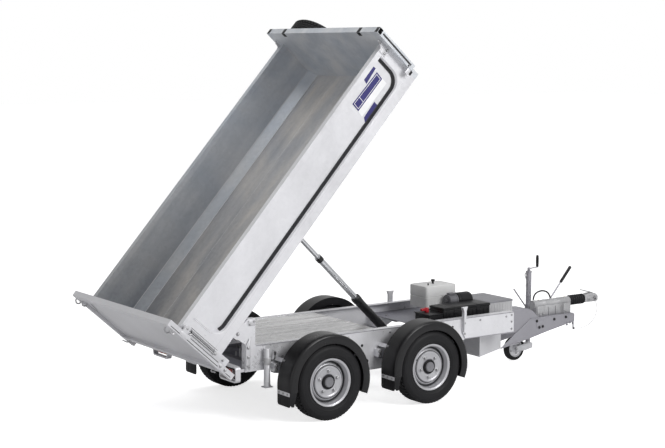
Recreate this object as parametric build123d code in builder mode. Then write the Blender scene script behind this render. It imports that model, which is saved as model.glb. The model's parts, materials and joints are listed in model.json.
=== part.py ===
from build123d import *
import os
from math import atan2, cos, degrees, hypot, pi, radians, sin, tan

# Twin-axle tipping trailer, bed raised, standing on its four road wheels and its jockey wheel.
# Millimetres. X points forward to the coupling, Y to the left, Z up. The ground is Z = 0, the
# centreline is Y = 0, and the origin is below the middle of the overall length.

os.makedirs("parts", exist_ok=True)

# Small fits
seat_gap = 0.3          # pieces on different bodies that rest on each other
shaft_clearance = 0.05  # radial, shaft in its bore
sheet = 4.0             # folded sheet and skins

# Road wheels and axles
rear_axle_x = -1046.0
axle_spacing = 952.0
wheel_track = 1382.0
tyre_radius = 288.0
tyre_width = 160.0
rim_flange_radius = 182.5
rim_seat_radius = 168.0
rim_width = 132.0
rim_wall = 4.0
disc_face = 34.0        # disc's outer face, outboard of the tyre's middle
disc_bore_radius = 60.0
nut_circle_radius = 82.5
hub_nose_radius = 44.0
hub_nose_reach = 22.0   # past the disc's outer face
drum_radius = 105.0
drum_width = 52.0
stub_radius = 20.0
axle_half = 30.0           # square axle beam, half its width
front_axle_x = rear_axle_x + axle_spacing
axle_z = tyre_radius
wheel_y = wheel_track / 2

# Chassis
frame_half_width = 492.0    # outer face of each side plate
frame_top_z = 582.0
frame_front_x = rear_axle_x + 2030.0
side_flange = 60.0
front_side_bottom_z = 408.0
tray_top_z = 504.0          # floor under the power pack
mid_side_bottom_z = 270.0
rear_side_bottom_z = 390.0
bow_front_x = rear_axle_x + 2240.0
bow_half_width = 91.0
bow_top_z = 520.0
nose_rear_x = rear_axle_x + 1741.0     # wedge-shaped tray under the front
nose_rear_half_width = 400.0
nose_rear_z = 216.0
nose_front_z = 180.0
cross_tube = 60.0
spring_half = 360.0         # half the length of a spring's top leaf
spring_rise = 26.0
spring_y = 520.0
spring_width = 50.0
leaf = 8.0
spring_top_z = tyre_radius + 62.0           # top of the stack over the axle
spring_end_z = spring_top_z + spring_rise

# Bed hinge and tilt
hinge_x = rear_axle_x - 640.0
hinge_z = 680.0
tip_angle = 48.24
hinge_pin_radius = 14.0
ear_radius = 40.0
post_width = 42.0           # hinge post, across the trailer
post_top_z = 785.0
post_front_x = rear_axle_x - 490.0
post_rear_x = rear_axle_x - 580.0
hinge_side_gap = 6.0        # bed rail to hinge post
rest_x = rear_axle_x + 1472.0

# Bed, in its own level frame: u forward and v up from the hinge axis, w to the left
bed_rear_u = -298.0
side_rear_u = -235.0
bed_front_u = 2335.0
floor_v = 164.0             # top of the floor
sill_v = 144.0              # underside of the sides
side_top_v = 545.0
side_half_width = 709.0
side_depth = 40.0           # outer face to inner skin
cove_v = 222.0              # where the sloped lower corner meets the side
floor_half_width = 580.0
top_rail_height = 45.0
top_rail_width = 48.0
recess_rear_u = -175.0
recess_front_u = 2252.0
recess_bottom_v = 236.0
recess_radius = 115.0
recess_slope = 25.0         # degrees the recess's walls lean
rear_post_bottom_v = 60.0

head_half_width = 764.0
head_wing_v = 242.0
head_top_v = 676.0
head_depth = 50.0
head_rail = 40.0

gate_front_u = bed_rear_u - seat_gap
gate_depth = 45.0
gate_bottom_v = -10.0
gate_skin_bottom_v = 76.0
gate_top_v = 665.0
gate_tube = 40.0
gate_pivot_u = -268.0
gate_pivot_v = side_top_v - 33.0
gate_pin_radius = 10.0

rail_width = 60.0
rail_y = frame_half_width - sheet - post_width - hinge_side_gap - rail_width / 2    # middle of each bed rail
rail_bottom_v = 5.0
bearer_bottom_v = 116.0
bearer_width = 40.0

# Tipping ram
ram_base_x = rear_axle_x + 1164.0
ram_base_z = 356.0
ram_head_u = 1038.0
ram_head_v = 84.0
ram_pin_radius = 16.0
ram_ear_gap = 60.0
ram_ear_thickness = 10.0
barrel_radius = 35.0
barrel_length = 570.0
stage_1_radius = 25.0
stage_1_reach = 510.0
stage_2_radius = 18.5
ram_wall = 5.0

# Spare wheel on the headboard's front
spare_w = 485.0
spare_v = 344.0

# Power pack and locker
pump_x = rear_axle_x + 1730.0
pump_y = -90.0
pump_z = 652.0
tank_x = rear_axle_x + 1640.0
tank_y = 100.0
tank_top_z = 775.0
locker_rear_x = rear_axle_x + 1994.0
locker_front_x = rear_axle_x + 2282.0
locker_half_width = 200.0
locker_top_z = 625.0

# Mudguards
guard_radius = 365.0
guard_back = 8.0            # guard's centre behind the wheel's
guard_inner_y = 604.0
guard_outer_y = 778.0
guard_lip = 55.0
guard_sheet = 4.0
guard_front_angle = -20.0
guard_rear_angle = 186.0
flap_bottom_z = 147.0

# Rear lamps
lamp_bar_x = rear_axle_x - 700.0
lamp_z = 412.0
lamp_y = 516.0
lamp_width = 164.0
lamp_height = 66.0
lamp_depth = 34.0

# Drawbar and coupling
drawbar_half_width = 91.0
drawbar_plate = 6.0
drawbar_front_x = rear_axle_x + 3105.0
drawbar_top_z = 405.0
cable_lug_x = drawbar_front_x - 12.0
coupling_z = 505.0
coupling_nose_x = rear_axle_x + 3457.0
housing_rear_x = rear_axle_x + 2680.0
housing_front_x = rear_axle_x + 3110.0
bellows_front_x = rear_axle_x + 3290.0
ball_radius = 25.0
lever_foot_x = rear_axle_x + 2850.0
lever_y = 50.0
coupling_tube_radius = 25.0

# Jockey wheel
jockey_x = rear_axle_x + 2755.0
jockey_y = 134.0
jockey_wheel_radius = 105.0
jockey_wheel_width = 56.0
jockey_trail = 165.0
jockey_tube_radius = 24.0
jockey_top_z = 781.0
jockey_clamp_top_z = 480.0
jockey_lever_length = 229.0

# Planes of the raised bed: its floor, its sides and its ends
bed_origin = (hinge_x, 0, hinge_z)
bed_u = Vector(cos(radians(tip_angle)), 0, sin(radians(tip_angle)))
bed_v = Vector(-sin(radians(tip_angle)), 0, cos(radians(tip_angle)))
bed = Plane(origin=bed_origin, x_dir=bed_u, z_dir=bed_v)
bed_side = Plane(origin=bed_origin, x_dir=bed_u, z_dir=(0, -1, 0))
bed_end = Plane(origin=bed_origin, x_dir=(0, 1, 0), z_dir=bed_u)

# The four road wheels: name, axle's X, side (+1 left, -1 right)
road_wheels = [
    ("rear_right", rear_axle_x, -1),
    ("rear_left", rear_axle_x, 1),
    ("front_right", front_axle_x, -1),
    ("front_left", front_axle_x, 1),
]


def wheel_plane(x, side):
    """Middle plane of a road wheel, its normal pointing outboard."""
    return Plane(origin=(x, side * wheel_y, axle_z), x_dir=(side, 0, 0), z_dir=(0, side, 0))


def make_tyre(plane):
    """Tyre as one closed ring about the plane's normal."""
    half = tyre_width / 2
    tread = half - 18
    bead = rim_width / 2 - 8 - seat_gap
    bead_top = rim_flange_radius + 1.5
    with BuildPart() as piece:
        with BuildSketch(Plane(origin=plane.origin, x_dir=plane.x_dir, z_dir=-plane.y_dir)):
            with BuildLine():
                Polyline(
                    (tyre_radius, -tread), (tyre_radius, tread), (tyre_radius * 0.84, half), (bead_top, bead + 4.4),
                    (rim_seat_radius, bead), (rim_seat_radius, -bead), (bead_top, -bead - 4.4),
                    (tyre_radius * 0.84, -half), close=True)
            make_face()
        revolve(axis=Axis(plane.origin, plane.z_dir))
    return piece.part


def make_rim(plane):
    """Pressed steel wheel: rim, dished disc, bore and five nut holes."""
    half = rim_width / 2
    seat = rim_seat_radius - seat_gap
    face = disc_face
    dish = nut_circle_radius + 28
    with BuildPart() as piece:
        with BuildSketch(Plane(origin=plane.origin, x_dir=plane.x_dir, z_dir=-plane.y_dir)):
            with BuildLine():
                Polyline(
                    (rim_flange_radius, -half), (rim_flange_radius, -half + 4), (seat, -half + 8),
                    (seat, half - 8), (rim_flange_radius, half - 4), (rim_flange_radius, half),
                    (seat - rim_wall, half), (seat - rim_wall, -half), close=True)
            make_face()
            with BuildLine():
                Polyline(
                    (disc_bore_radius, face), (dish, face), (seat - 22, face - 22), (seat - rim_wall / 2, face - 22),
                    (seat - rim_wall / 2, face - 28), (seat - 24, face - 28), (dish - 4, face - 6),
                    (disc_bore_radius, face - 6), close=True)
            make_face()
        revolve(axis=Axis(plane.origin, plane.z_dir))
        with BuildSketch(plane.offset(disc_face)):
            with PolarLocations(nut_circle_radius, 5):
                Circle(9)
        extrude(amount=-8, mode=Mode.SUBTRACT)
    return piece.part


for name, x, side in road_wheels:
    mid = wheel_plane(x, side)
    tyre = make_tyre(mid)
    tyre.label = f"tyre_{name}"
    export_step(tyre, f"parts/tyre_{name}.step")

    # Wheel with its hub: the brake drum against the disc's back, the hub's nose out through its bore
    with BuildPart() as rim:
        add(make_rim(mid))
        with BuildSketch(mid.offset(disc_face - 6 - drum_width)):
            Circle(drum_radius)
        extrude(amount=drum_width)
        with BuildSketch(mid.offset(disc_face - 7)):
            Circle(hub_nose_radius)
        extrude(amount=7 + hub_nose_reach - 5)
        with BuildSketch(mid.offset(disc_face + hub_nose_reach - 5)):
            Circle(hub_nose_radius)
        extrude(amount=5, taper=45)
        with BuildSketch(mid.offset(disc_face - 6 - drum_width)):
            Circle(stub_radius)
        extrude(amount=drum_width, mode=Mode.SUBTRACT)
    rim.part.label = f"rim_{name}"
    export_step(rim.part, f"parts/rim_{name}.step")

# Spare wheel, lying against the headboard's front with its face forward
spare_face = Plane(
    origin=bed.from_local_coords(Vector(bed_front_u + head_depth + tyre_width / 2 + 2, spare_w, spare_v)),
    x_dir=(0, 1, 0), z_dir=bed_u)
spare_tyre = make_tyre(spare_face)
spare_tyre.label = "spare_tyre"
export_step(spare_tyre, "parts/spare_tyre.step")
spare_rim = make_rim(spare_face)
spare_rim.label = "spare_rim"
export_step(spare_rim, "parts/spare_rim.step")

# Beam axles: tube, brake back plates and stub ends
back_plate_y = wheel_y + disc_face - 6 - drum_width
with BuildPart() as axles:
    for x in (rear_axle_x, front_axle_x):
        axis_plane = Plane(origin=(x, 0, axle_z), x_dir=(1, 0, 0), z_dir=(0, 1, 0))
        with BuildSketch(axis_plane.offset(-back_plate_y + 6)):
            Rectangle(2 * axle_half, 2 * axle_half)
        extrude(amount=2 * (back_plate_y - 6))
        for side in (-1, 1):
            with BuildSketch(axis_plane.offset(side * (back_plate_y - 1))):
                Circle(drum_radius - 2)
            extrude(amount=-side * 5)
            with BuildSketch(axis_plane.offset(side * (back_plate_y - 6))):
                Circle(stub_radius - shaft_clearance)
            extrude(amount=side * (drum_width + 2))
axles.part.label = "axles"
export_step(axles.part, "parts/axles.step")

# Chassis side plates, one folded channel each side, deep where the springs hang, with the
# hinge post standing at the rear
side_outline = [
    (post_rear_x, frame_top_z), (post_rear_x, rear_side_bottom_z),
    (rear_axle_x + 110, rear_side_bottom_z), (rear_axle_x + 250, mid_side_bottom_z),
    (front_axle_x - 250, mid_side_bottom_z), (front_axle_x - 110, rear_side_bottom_z),
    (front_axle_x + 120, rear_side_bottom_z), (front_axle_x + 300, 330), (front_axle_x + 400, 330),
    (front_axle_x + 550, front_side_bottom_z), (frame_front_x, front_side_bottom_z),
    (frame_front_x, frame_top_z),
]
for name, side in (("side_plate_right", -1), ("side_plate_left", 1)):
    face = Plane(origin=(0, side * frame_half_width, 0), x_dir=(1, 0, 0), z_dir=(0, -1, 0))
    with BuildPart() as plate:
        with BuildSketch(face):
            with BuildLine():
                Polyline(*side_outline, close=True)
            make_face()
        extrude(amount=side * sheet)
        # flanges: along the top from the hinge post forward, and under the straight front stretch
        for z, rear_x in ((frame_top_z - sheet, post_front_x), (front_side_bottom_z, front_axle_x + 550)):
            with BuildSketch(Plane.XY.offset(z)):
                with Locations(((rear_x + frame_front_x) / 2, side * (frame_half_width - side_flange / 2))):
                    Rectangle(frame_front_x - rear_x, side_flange)
            extrude(amount=sheet)
        # spring hangers, out over the ends of the springs
        for x in (rear_axle_x, front_axle_x):
            for end in (-1, 1):
                with BuildSketch(face.offset(side * sheet / 2)):
                    with Locations((x + end * (spring_half - 15), spring_end_z + 30)):
                        Rectangle(30, 60)
                extrude(amount=-side * (spring_y + spring_width / 2 - frame_half_width + sheet / 2))
        # hinge post with its ear round the bed's hinge axis
        with BuildSketch(face):
            with BuildLine():
                Polyline(
                    (post_front_x, rear_side_bottom_z), (post_front_x, post_top_z),
                    (post_rear_x + 30, post_top_z), (hinge_x, hinge_z + ear_radius),
                    (hinge_x - ear_radius, hinge_z), (hinge_x, hinge_z - ear_radius),
                    (post_rear_x, hinge_z - 2 * ear_radius), (post_rear_x, rear_side_bottom_z), close=True)
            make_face()
            with Locations((hinge_x, hinge_z)):
                Circle(ear_radius)
        extrude(amount=side * (post_width + sheet))
        with BuildSketch(face):
            with Locations((hinge_x, hinge_z)):
                Circle(hinge_pin_radius)
        extrude(amount=side * (post_width + sheet), mode=Mode.SUBTRACT)
        # stays out to the mudguards
        for x in (rear_axle_x, front_axle_x):
            for angle in (25, 150):
                px = x - guard_back + (guard_radius - guard_sheet - 12.7) * cos(radians(angle))
                pz = axle_z + (guard_radius - guard_sheet - 12.7) * sin(radians(angle))
                with BuildSketch(face.offset(side * sheet / 2)):
                    with Locations((px, pz)):
                        Rectangle(24, 30, rotation=angle)
                extrude(amount=-side * (guard_inner_y + 30 - frame_half_width + sheet / 2))
        # rest that steadies the lowered bed
        with BuildSketch(face):
            with BuildLine():
                Polyline(
                    (rest_x + 30, 415), (rest_x, 470), (rest_x, 640), (rest_x - 12, 674),
                    (rest_x + 52, 674), (rest_x + 40, 640), (rest_x + 40, 425), close=True)
            make_face()
        extrude(amount=-side * 12)
    plate.part.label = name
    export_step(plate.part, f"parts/{name}.step")

# Cross tubes between the side plates: X of the middle, Z of the middle
inner_half = frame_half_width - sheet
with BuildPart() as cross_tubes:
    for x, z, half in (
        (post_rear_x + 50, rear_side_bottom_z + 40, inner_half - post_width), (rear_axle_x - 190, 520, inner_half),
        ((rear_axle_x + front_axle_x) / 2, 400, inner_half), (ram_base_x + 90, ram_base_z, inner_half),
        (frame_front_x - 40, 460, inner_half),
    ):
        with BuildSketch(Plane(origin=(x, -half, z), x_dir=(1, 0, 0), z_dir=(0, 1, 0))):
            Rectangle(cross_tube, cross_tube)
            Rectangle(cross_tube - 2 * sheet, cross_tube - 2 * sheet, mode=Mode.SUBTRACT)
        extrude(amount=2 * half)
    # ram foot: two ears back from the tube that carries the barrel's pin
    for y in (-ram_ear_gap / 2 - ram_ear_thickness, ram_ear_gap / 2):
        with BuildSketch(Plane(origin=(0, y, 0), x_dir=(1, 0, 0), z_dir=(0, -1, 0))):
            with BuildLine():
                Polyline(
                    (ram_base_x + 60, ram_base_z - 30), (ram_base_x + 60, ram_base_z + 30),
                    (ram_base_x, ram_base_z + 26), (ram_base_x, ram_base_z - 26), close=True)
            make_face()
            with Locations((ram_base_x, ram_base_z)):
                Circle(26)
                Circle(ram_pin_radius, mode=Mode.SUBTRACT)
        extrude(amount=-ram_ear_thickness)
cross_tubes.part.label = "cross_tubes"
export_step(cross_tubes.part, "parts/cross_tubes.step")

# Deck: one sheet between the flanges, from the rear tube to the ram's pocket
with BuildPart() as deck:
    with BuildSketch(Plane.XY.offset(frame_top_z - 2 * sheet - seat_gap)):
        with Locations((rear_axle_x + 85, 0)):
            Rectangle(1130, 2 * inner_half - 2)
    extrude(amount=sheet)
deck.part.label = "deck"
export_step(deck.part, "parts/deck.step")

# Tray that carries the power pack, let into the front of the chassis
with BuildPart() as tray:
    with BuildSketch(Plane.XY.offset(tray_top_z - sheet)):
        with Locations(((ram_base_x + 70 + frame_front_x) / 2, 0)):
            Rectangle(frame_front_x - ram_base_x - 70, 2 * inner_half - 2)
    extrude(amount=sheet)
tray.part.label = "tray"
export_step(tray.part, "parts/tray.step")

# Bow: sheet that closes the front of the chassis and narrows to the drawbar
with BuildPart() as bow:
    with BuildSketch(Plane.XY.offset(front_side_bottom_z)):
        with BuildLine():
            Polyline(
                (frame_front_x + seat_gap, -frame_half_width), (bow_front_x, -bow_half_width),
                (bow_front_x, bow_half_width), (frame_front_x + seat_gap, frame_half_width), close=True)
        make_face()
    extrude(amount=bow_top_z - front_side_bottom_z)
    offset(amount=-sheet, openings=bow.faces().sort_by(Axis.X)[0])
bow.part.label = "bow"
export_step(bow.part, "parts/bow.step")

# Drawbar: two side plates, swept up to the front, with the tongue between them
plate_outline = [
    (bow_front_x + seat_gap, 174), (rear_axle_x + 2579, 403), (drawbar_front_x - 12, drawbar_top_z),
    (drawbar_front_x, drawbar_top_z - 10), (drawbar_front_x, 330), (jockey_x, 267), (rear_axle_x + 2583, 232),
]
with BuildPart() as drawbar:
    for side in (-1, 1):
        with BuildSketch(Plane(origin=(0, side * drawbar_half_width, 0), x_dir=(1, 0, 0), z_dir=(0, -1, 0))):
            with BuildLine():
                Polyline(*plate_outline, close=True)
            make_face()
        extrude(amount=side * drawbar_plate)
    with BuildSketch(Plane(origin=(0, -drawbar_half_width, 0), x_dir=(1, 0, 0), z_dir=(0, -1, 0))):
        with Locations((cable_lug_x, 300)):
            Rectangle(12, 80)
    extrude(amount=-drawbar_plate)
    tongue_half = drawbar_half_width - drawbar_plate
    with BuildSketch(Plane(origin=(0, tongue_half, 0), x_dir=(1, 0, 0), z_dir=(0, -1, 0))):
        with BuildLine():
            Polyline(
                (bow_front_x + seat_gap, bow_top_z - 4), (rear_axle_x + 2560, 494), (rear_axle_x + 2610, 470),
                (housing_rear_x, drawbar_top_z), (drawbar_front_x - 10, drawbar_top_z), (drawbar_front_x - 10, 340),
                (jockey_x, 300), (bow_front_x + seat_gap, 300), close=True)
        make_face()
    extrude(amount=2 * tongue_half)
drawbar.part.label = "drawbar"
export_step(drawbar.part, "parts/drawbar.step")

# Overrun device: cast housing, rubber bellows, coupling head and its handle
nose_plane = Plane(origin=(housing_rear_x, 0, coupling_z), x_dir=(0, 1, 0), z_dir=(1, 0, 0))
housing_length = housing_front_x - housing_rear_x
with BuildPart() as overrun_housing:
    with BuildSketch(nose_plane):
        Circle(38)
    extrude(amount=housing_length)
    with BuildSketch(Plane.XY.offset(drawbar_top_z)):
        with Locations((housing_rear_x + 60, 0), (housing_front_x - 60, 0)):
            Rectangle(90, 110)
        with Locations(((housing_rear_x + housing_front_x) / 2, 0)):
            Rectangle(housing_length - 20, 2 * (lever_y - 7 - seat_gap))
    extrude(amount=coupling_z - 10 - drawbar_top_z)
    with BuildSketch(nose_plane.offset(housing_length - 40)):
        Circle(coupling_tube_radius + shaft_clearance)
    extrude(amount=40, mode=Mode.SUBTRACT)
overrun_housing.part.label = "overrun_housing"
export_step(overrun_housing.part, "parts/overrun_housing.step")

bellows_length = bellows_front_x - housing_front_x
with BuildPart() as coupling_bellows:
    with BuildSketch(Plane(origin=(housing_front_x + seat_gap, 0, coupling_z), x_dir=(1, 0, 0), z_dir=(0, -1, 0))):
        ribs = 7
        pitch = (bellows_length - 2 * seat_gap) / ribs
        points = [(0, coupling_tube_radius + 0.3), (0, 34)]
        for i in range(ribs):
            points += [((i + 0.5) * pitch, 46), ((i + 1) * pitch, 34)]
        points += [(ribs * pitch, coupling_tube_radius + 0.3)]
        with BuildLine():
            Polyline(*points, close=True)
        make_face()
    revolve(axis=Axis((0, 0, coupling_z), (1, 0, 0)))
coupling_bellows.part.label = "coupling_bellows"
export_step(coupling_bellows.part, "parts/coupling_bellows.step")

with BuildPart() as coupling_head:
    with BuildSketch(nose_plane.offset(housing_length - 20)):
        Circle(coupling_tube_radius)
    extrude(amount=bellows_length + 60)
    with BuildSketch(Plane(origin=(0, 0, coupling_z), x_dir=(1, 0, 0), z_dir=(0, -1, 0))):
        with BuildLine():
            Polyline(
                (bellows_front_x, -34), (bellows_front_x, 36), (bellows_front_x + 60, 48),
                (bellows_front_x + 130, 44), (coupling_nose_x, 10), (coupling_nose_x, -24),
                (coupling_nose_x - 20, -36), close=True)
        make_face()
    extrude(amount=36, both=True)
    fillet(coupling_head.edges().filter_by(Axis.Z).group_by(Axis.X)[-1], 20)
    with Locations((coupling_nose_x - 48, 0, coupling_z - 30)):
        Sphere(ball_radius, mode=Mode.SUBTRACT)
        Cylinder(ball_radius, 40, align=(Align.CENTER, Align.CENTER, Align.MAX), mode=Mode.SUBTRACT)
coupling_head.part.label = "coupling_head"
export_step(coupling_head.part, "parts/coupling_head.step")

with BuildPart() as coupling_handle:
    with BuildSketch(Plane(origin=(0, 0, coupling_z), x_dir=(1, 0, 0), z_dir=(0, -1, 0))):
        with BuildLine():
            Polyline(
                (bellows_front_x + 110, 49), (bellows_front_x + 40, 66), (bellows_front_x - 30, 84),
                (bellows_front_x - 32, 74), (bellows_front_x + 30, 56), (bellows_front_x + 60, 48 + seat_gap),
                (bellows_front_x + 100, 46 + seat_gap), close=True)
        make_face()
    extrude(amount=14, both=True)
coupling_handle.part.label = "coupling_handle"
export_step(coupling_handle.part, "parts/coupling_handle.step")

# Handbrake lever beside the housing
lever_foot = (lever_foot_x, lever_y, 430)
lever_tip = (rear_axle_x + 3180, lever_y, 800)
lever_angle = degrees(atan2(lever_tip[2] - lever_foot[2], lever_tip[0] - lever_foot[0]))
lever_length = hypot(lever_tip[0] - lever_foot[0], lever_tip[2] - lever_foot[2])
lever_plane = Plane(
    origin=lever_foot, x_dir=(0, 1, 0),
    z_dir=(cos(radians(lever_angle)), 0, sin(radians(lever_angle))))
with BuildPart() as handbrake:
    with BuildSketch(lever_plane):
        Circle(7)
    extrude(amount=lever_length)
    with BuildSketch(lever_plane.offset(lever_length - 180)):
        Circle(14)
    extrude(amount=180)
handbrake.part.label = "handbrake"
export_step(handbrake.part, "parts/handbrake.step")

# Jockey wheel: clamped outer tube with crank, inner leg, swivelling fork and wheel
tube_axis = Plane(origin=(jockey_x, jockey_y, 0), x_dir=(1, 0, 0), z_dir=(0, 0, 1))
with BuildPart() as jockey_tube:
    with BuildSketch(tube_axis.offset(330)):
        Circle(jockey_tube_radius)
        Circle(jockey_tube_radius - 3, mode=Mode.SUBTRACT)
    extrude(amount=jockey_top_z - 330)
    with BuildSketch(tube_axis.offset(jockey_top_z - 4)):
        Circle(jockey_tube_radius)
    extrude(amount=8)
    with BuildSketch(tube_axis.offset(340)):
        Circle(jockey_tube_radius + 8)
        with Locations((0, drawbar_half_width + seat_gap - jockey_y)):
            Rectangle(50, 30, align=(Align.CENTER, Align.MIN))
        Circle(jockey_tube_radius - 1, mode=Mode.SUBTRACT)
    extrude(amount=jockey_clamp_top_z - 340)
    with BuildSketch(Plane(origin=(jockey_x - jockey_tube_radius - 4, jockey_y, jockey_clamp_top_z - 18),
                           x_dir=(0, 1, 0), z_dir=(-0.64, 0, 0.77))):
        Circle(6)
    extrude(amount=jockey_lever_length)
jockey_tube.part.label = "jockey_tube"
export_step(jockey_tube.part, "parts/jockey_tube.step")

with BuildPart() as jockey_knob:
    with BuildSketch(Plane(origin=(jockey_x - 15, drawbar_half_width, jockey_clamp_top_z - 18),
                           x_dir=(1, 0, 0), z_dir=(0, -1, 0))):
        Circle(16)
    extrude(amount=30)
    chamfer(jockey_knob.edges().group_by(Axis.Y)[0], 3)
jockey_knob.part.label = "jockey_knob"
export_step(jockey_knob.part, "parts/jockey_knob.step")

with BuildPart() as jockey_leg:
    with BuildSketch(tube_axis.offset(150)):
        Circle(jockey_tube_radius - 3 - seat_gap)
    extrude(amount=350)
jockey_leg.part.label = "jockey_leg"
export_step(jockey_leg.part, "parts/jockey_leg.step")

with BuildPart() as jockey_crank:
    with BuildSketch(tube_axis.offset(jockey_top_z + 4 + seat_gap)):
        Circle(9)
    extrude(amount=26)
    with BuildSketch(tube_axis.offset(jockey_top_z + 26)):
        with Locations((50, 0)):
            Rectangle(118, 16)
    extrude(amount=8)
    with BuildSketch(tube_axis.offset(jockey_top_z + 34)):
        with Locations((100, 0)):
            Circle(13)
    extrude(amount=105)
jockey_crank.part.label = "jockey_crank"
export_step(jockey_crank.part, "parts/jockey_crank.step")

fork_inner = jockey_wheel_width / 2 + 5
with BuildPart() as jockey_fork:
    with BuildSketch(tube_axis.offset(96)):
        Circle(jockey_tube_radius - 2)
    extrude(amount=54 - seat_gap)
    for y in (jockey_y - fork_inner - sheet, jockey_y + fork_inner):
        with BuildSketch(Plane(origin=(0, y, 0), x_dir=(1, 0, 0), z_dir=(0, -1, 0))):
            with BuildLine():
                Polyline(
                    (jockey_x + 24, 96), (jockey_x + 24, 140), (jockey_x - 70, 140),
                    (jockey_x - jockey_trail, 125), (jockey_x - jockey_trail - 20, 105),
                    (jockey_x - jockey_trail, 85), (jockey_x - 60, 80), close=True)
            make_face()
        extrude(amount=-sheet)
    with BuildSketch(tube_axis.offset(110)):
        with Locations((-8, 0)):
            Rectangle(62, 2 * fork_inner)
    extrude(amount=30)
    with BuildSketch(Plane(origin=(jockey_x - jockey_trail, jockey_y - fork_inner - sheet, jockey_wheel_radius),
                           x_dir=(1, 0, 0), z_dir=(0, 1, 0))):
        Circle(8)
    extrude(amount=2 * fork_inner + 2 * sheet)
jockey_fork.part.label = "jockey_fork"
export_step(jockey_fork.part, "parts/jockey_fork.step")

jockey_axis = Plane(
    origin=(jockey_x - jockey_trail, jockey_y - jockey_wheel_width / 2, jockey_wheel_radius),
    x_dir=(1, 0, 0), z_dir=(0, 1, 0))
with BuildPart() as jockey_wheel:
    with BuildSketch(jockey_axis):
        Circle(jockey_wheel_radius)
        Circle(8 + shaft_clearance, mode=Mode.SUBTRACT)
    extrude(amount=jockey_wheel_width)
    chamfer(jockey_wheel.edges().filter_by(GeomType.CIRCLE).group_by(SortBy.RADIUS)[-1], 8)
jockey_wheel.part.label = "jockey_wheel"
export_step(jockey_wheel.part, "parts/jockey_wheel.step")

# Mudguards, one to each wheel, with the flap behind
for name, side in (("mudguards_right", -1), ("mudguards_left", 1)):
    with BuildPart() as guard:
        for x in (rear_axle_x, front_axle_x):
            centre = (x - guard_back, axle_z)
            with BuildSketch(Plane(origin=(0, side * guard_inner_y, 0), x_dir=(1, 0, 0), z_dir=(0, -1, 0))):
                with BuildLine():
                    outer = CenterArc(centre, guard_radius, guard_front_angle, guard_rear_angle - guard_front_angle)
                    inner = CenterArc(centre, guard_radius - guard_sheet, guard_front_angle,
                                      guard_rear_angle - guard_front_angle)
                    Line(outer @ 0, inner @ 0)
                    Line(outer @ 1, inner @ 1)
                make_face()
            extrude(amount=-side * (guard_outer_y - guard_inner_y))
            with BuildSketch(Plane(origin=(0, side * guard_outer_y, 0), x_dir=(1, 0, 0), z_dir=(0, -1, 0))):
                with BuildLine():
                    outer = CenterArc(centre, guard_radius, guard_front_angle, guard_rear_angle - guard_front_angle)
                    inner = CenterArc(centre, guard_radius - guard_lip, guard_front_angle,
                                      guard_rear_angle - guard_front_angle)
                    Line(outer @ 0, inner @ 0)
                    Line(outer @ 1, inner @ 1)
                make_face()
            extrude(amount=side * guard_sheet)
            rear_x = centre[0] + guard_radius * cos(radians(guard_rear_angle))
            rear_z = centre[1] + guard_radius * sin(radians(guard_rear_angle))
            with BuildSketch(Plane.XY.offset(flap_bottom_z)):
                with Locations((rear_x + 1, side * (guard_inner_y + guard_outer_y) / 2)):
                    Rectangle(5, guard_outer_y - guard_inner_y)
            extrude(amount=rear_z + 10 - flap_bottom_z)
    guard.part.label = name
    export_step(guard.part, f"parts/{name}.step")

# Leaf springs: three leaves and a saddle over each axle end
with BuildPart() as springs:
    for side in (-1, 1):
        outer = Plane(origin=(0, side * (spring_y + spring_width / 2), 0), x_dir=(1, 0, 0), z_dir=(0, -1, 0))
        for x in (rear_axle_x, front_axle_x):
            for i, share in enumerate((1.0, 0.74, 0.48)):
                half = share * spring_half
                top = spring_top_z - i * leaf
                rise = spring_rise * share ** 2
                with BuildSketch(outer):
                    with BuildLine():
                        ThreePointArc((x - half, top + rise), (x, top), (x + half, top + rise))
                        Line((x + half, top + rise), (x + half, top + rise - leaf))
                        ThreePointArc((x + half, top + rise - leaf), (x, top - leaf), (x - half, top + rise - leaf))
                        Line((x - half, top + rise - leaf), (x - half, top + rise))
                    make_face()
                extrude(amount=side * spring_width)
            with BuildSketch(Plane.XY.offset(axle_z + axle_half)):
                with Locations((x, side * spring_y)):
                    Rectangle(90, spring_width)
            extrude(amount=spring_top_z - 2.5 * leaf - axle_z - axle_half)
springs.part.label = "springs"
export_step(springs.part, "parts/springs.step")

# Power pack: base with its motor, black pump cover, oil tank with its cap, and the battery box
pack_base_top_z = tray_top_z + 85
with BuildPart() as pump_unit:
    with BuildSketch(Plane.XY.offset(tray_top_z + seat_gap)):
        with Locations((rear_axle_x + 1700, 0)):
            Rectangle(320, 200)
    extrude(amount=pack_base_top_z - tray_top_z - seat_gap)
    with BuildSketch(Plane(origin=(pump_x - 90, pump_y, pump_z), x_dir=(0, 1, 0), z_dir=(1, 0, 0))):
        Circle(52)
    extrude(amount=90)
    with BuildSketch(Plane.XY.offset(pack_base_top_z - 5)):
        with Locations((pump_x - 45, pump_y + 10)):
            Rectangle(70, 60)
    extrude(amount=pump_z - 30 - pack_base_top_z)
pump_unit.part.label = "pump_unit"
export_step(pump_unit.part, "parts/pump_unit.step")

with BuildPart() as pump_cover:
    with BuildSketch(Plane(origin=(pump_x + seat_gap, pump_y, pump_z), x_dir=(0, 1, 0), z_dir=(1, 0, 0))):
        Circle(62)
    extrude(amount=160)
    chamfer(pump_cover.edges().group_by(Axis.X)[-1], 22)
pump_cover.part.label = "pump_cover"
export_step(pump_cover.part, "parts/pump_cover.step")

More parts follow.
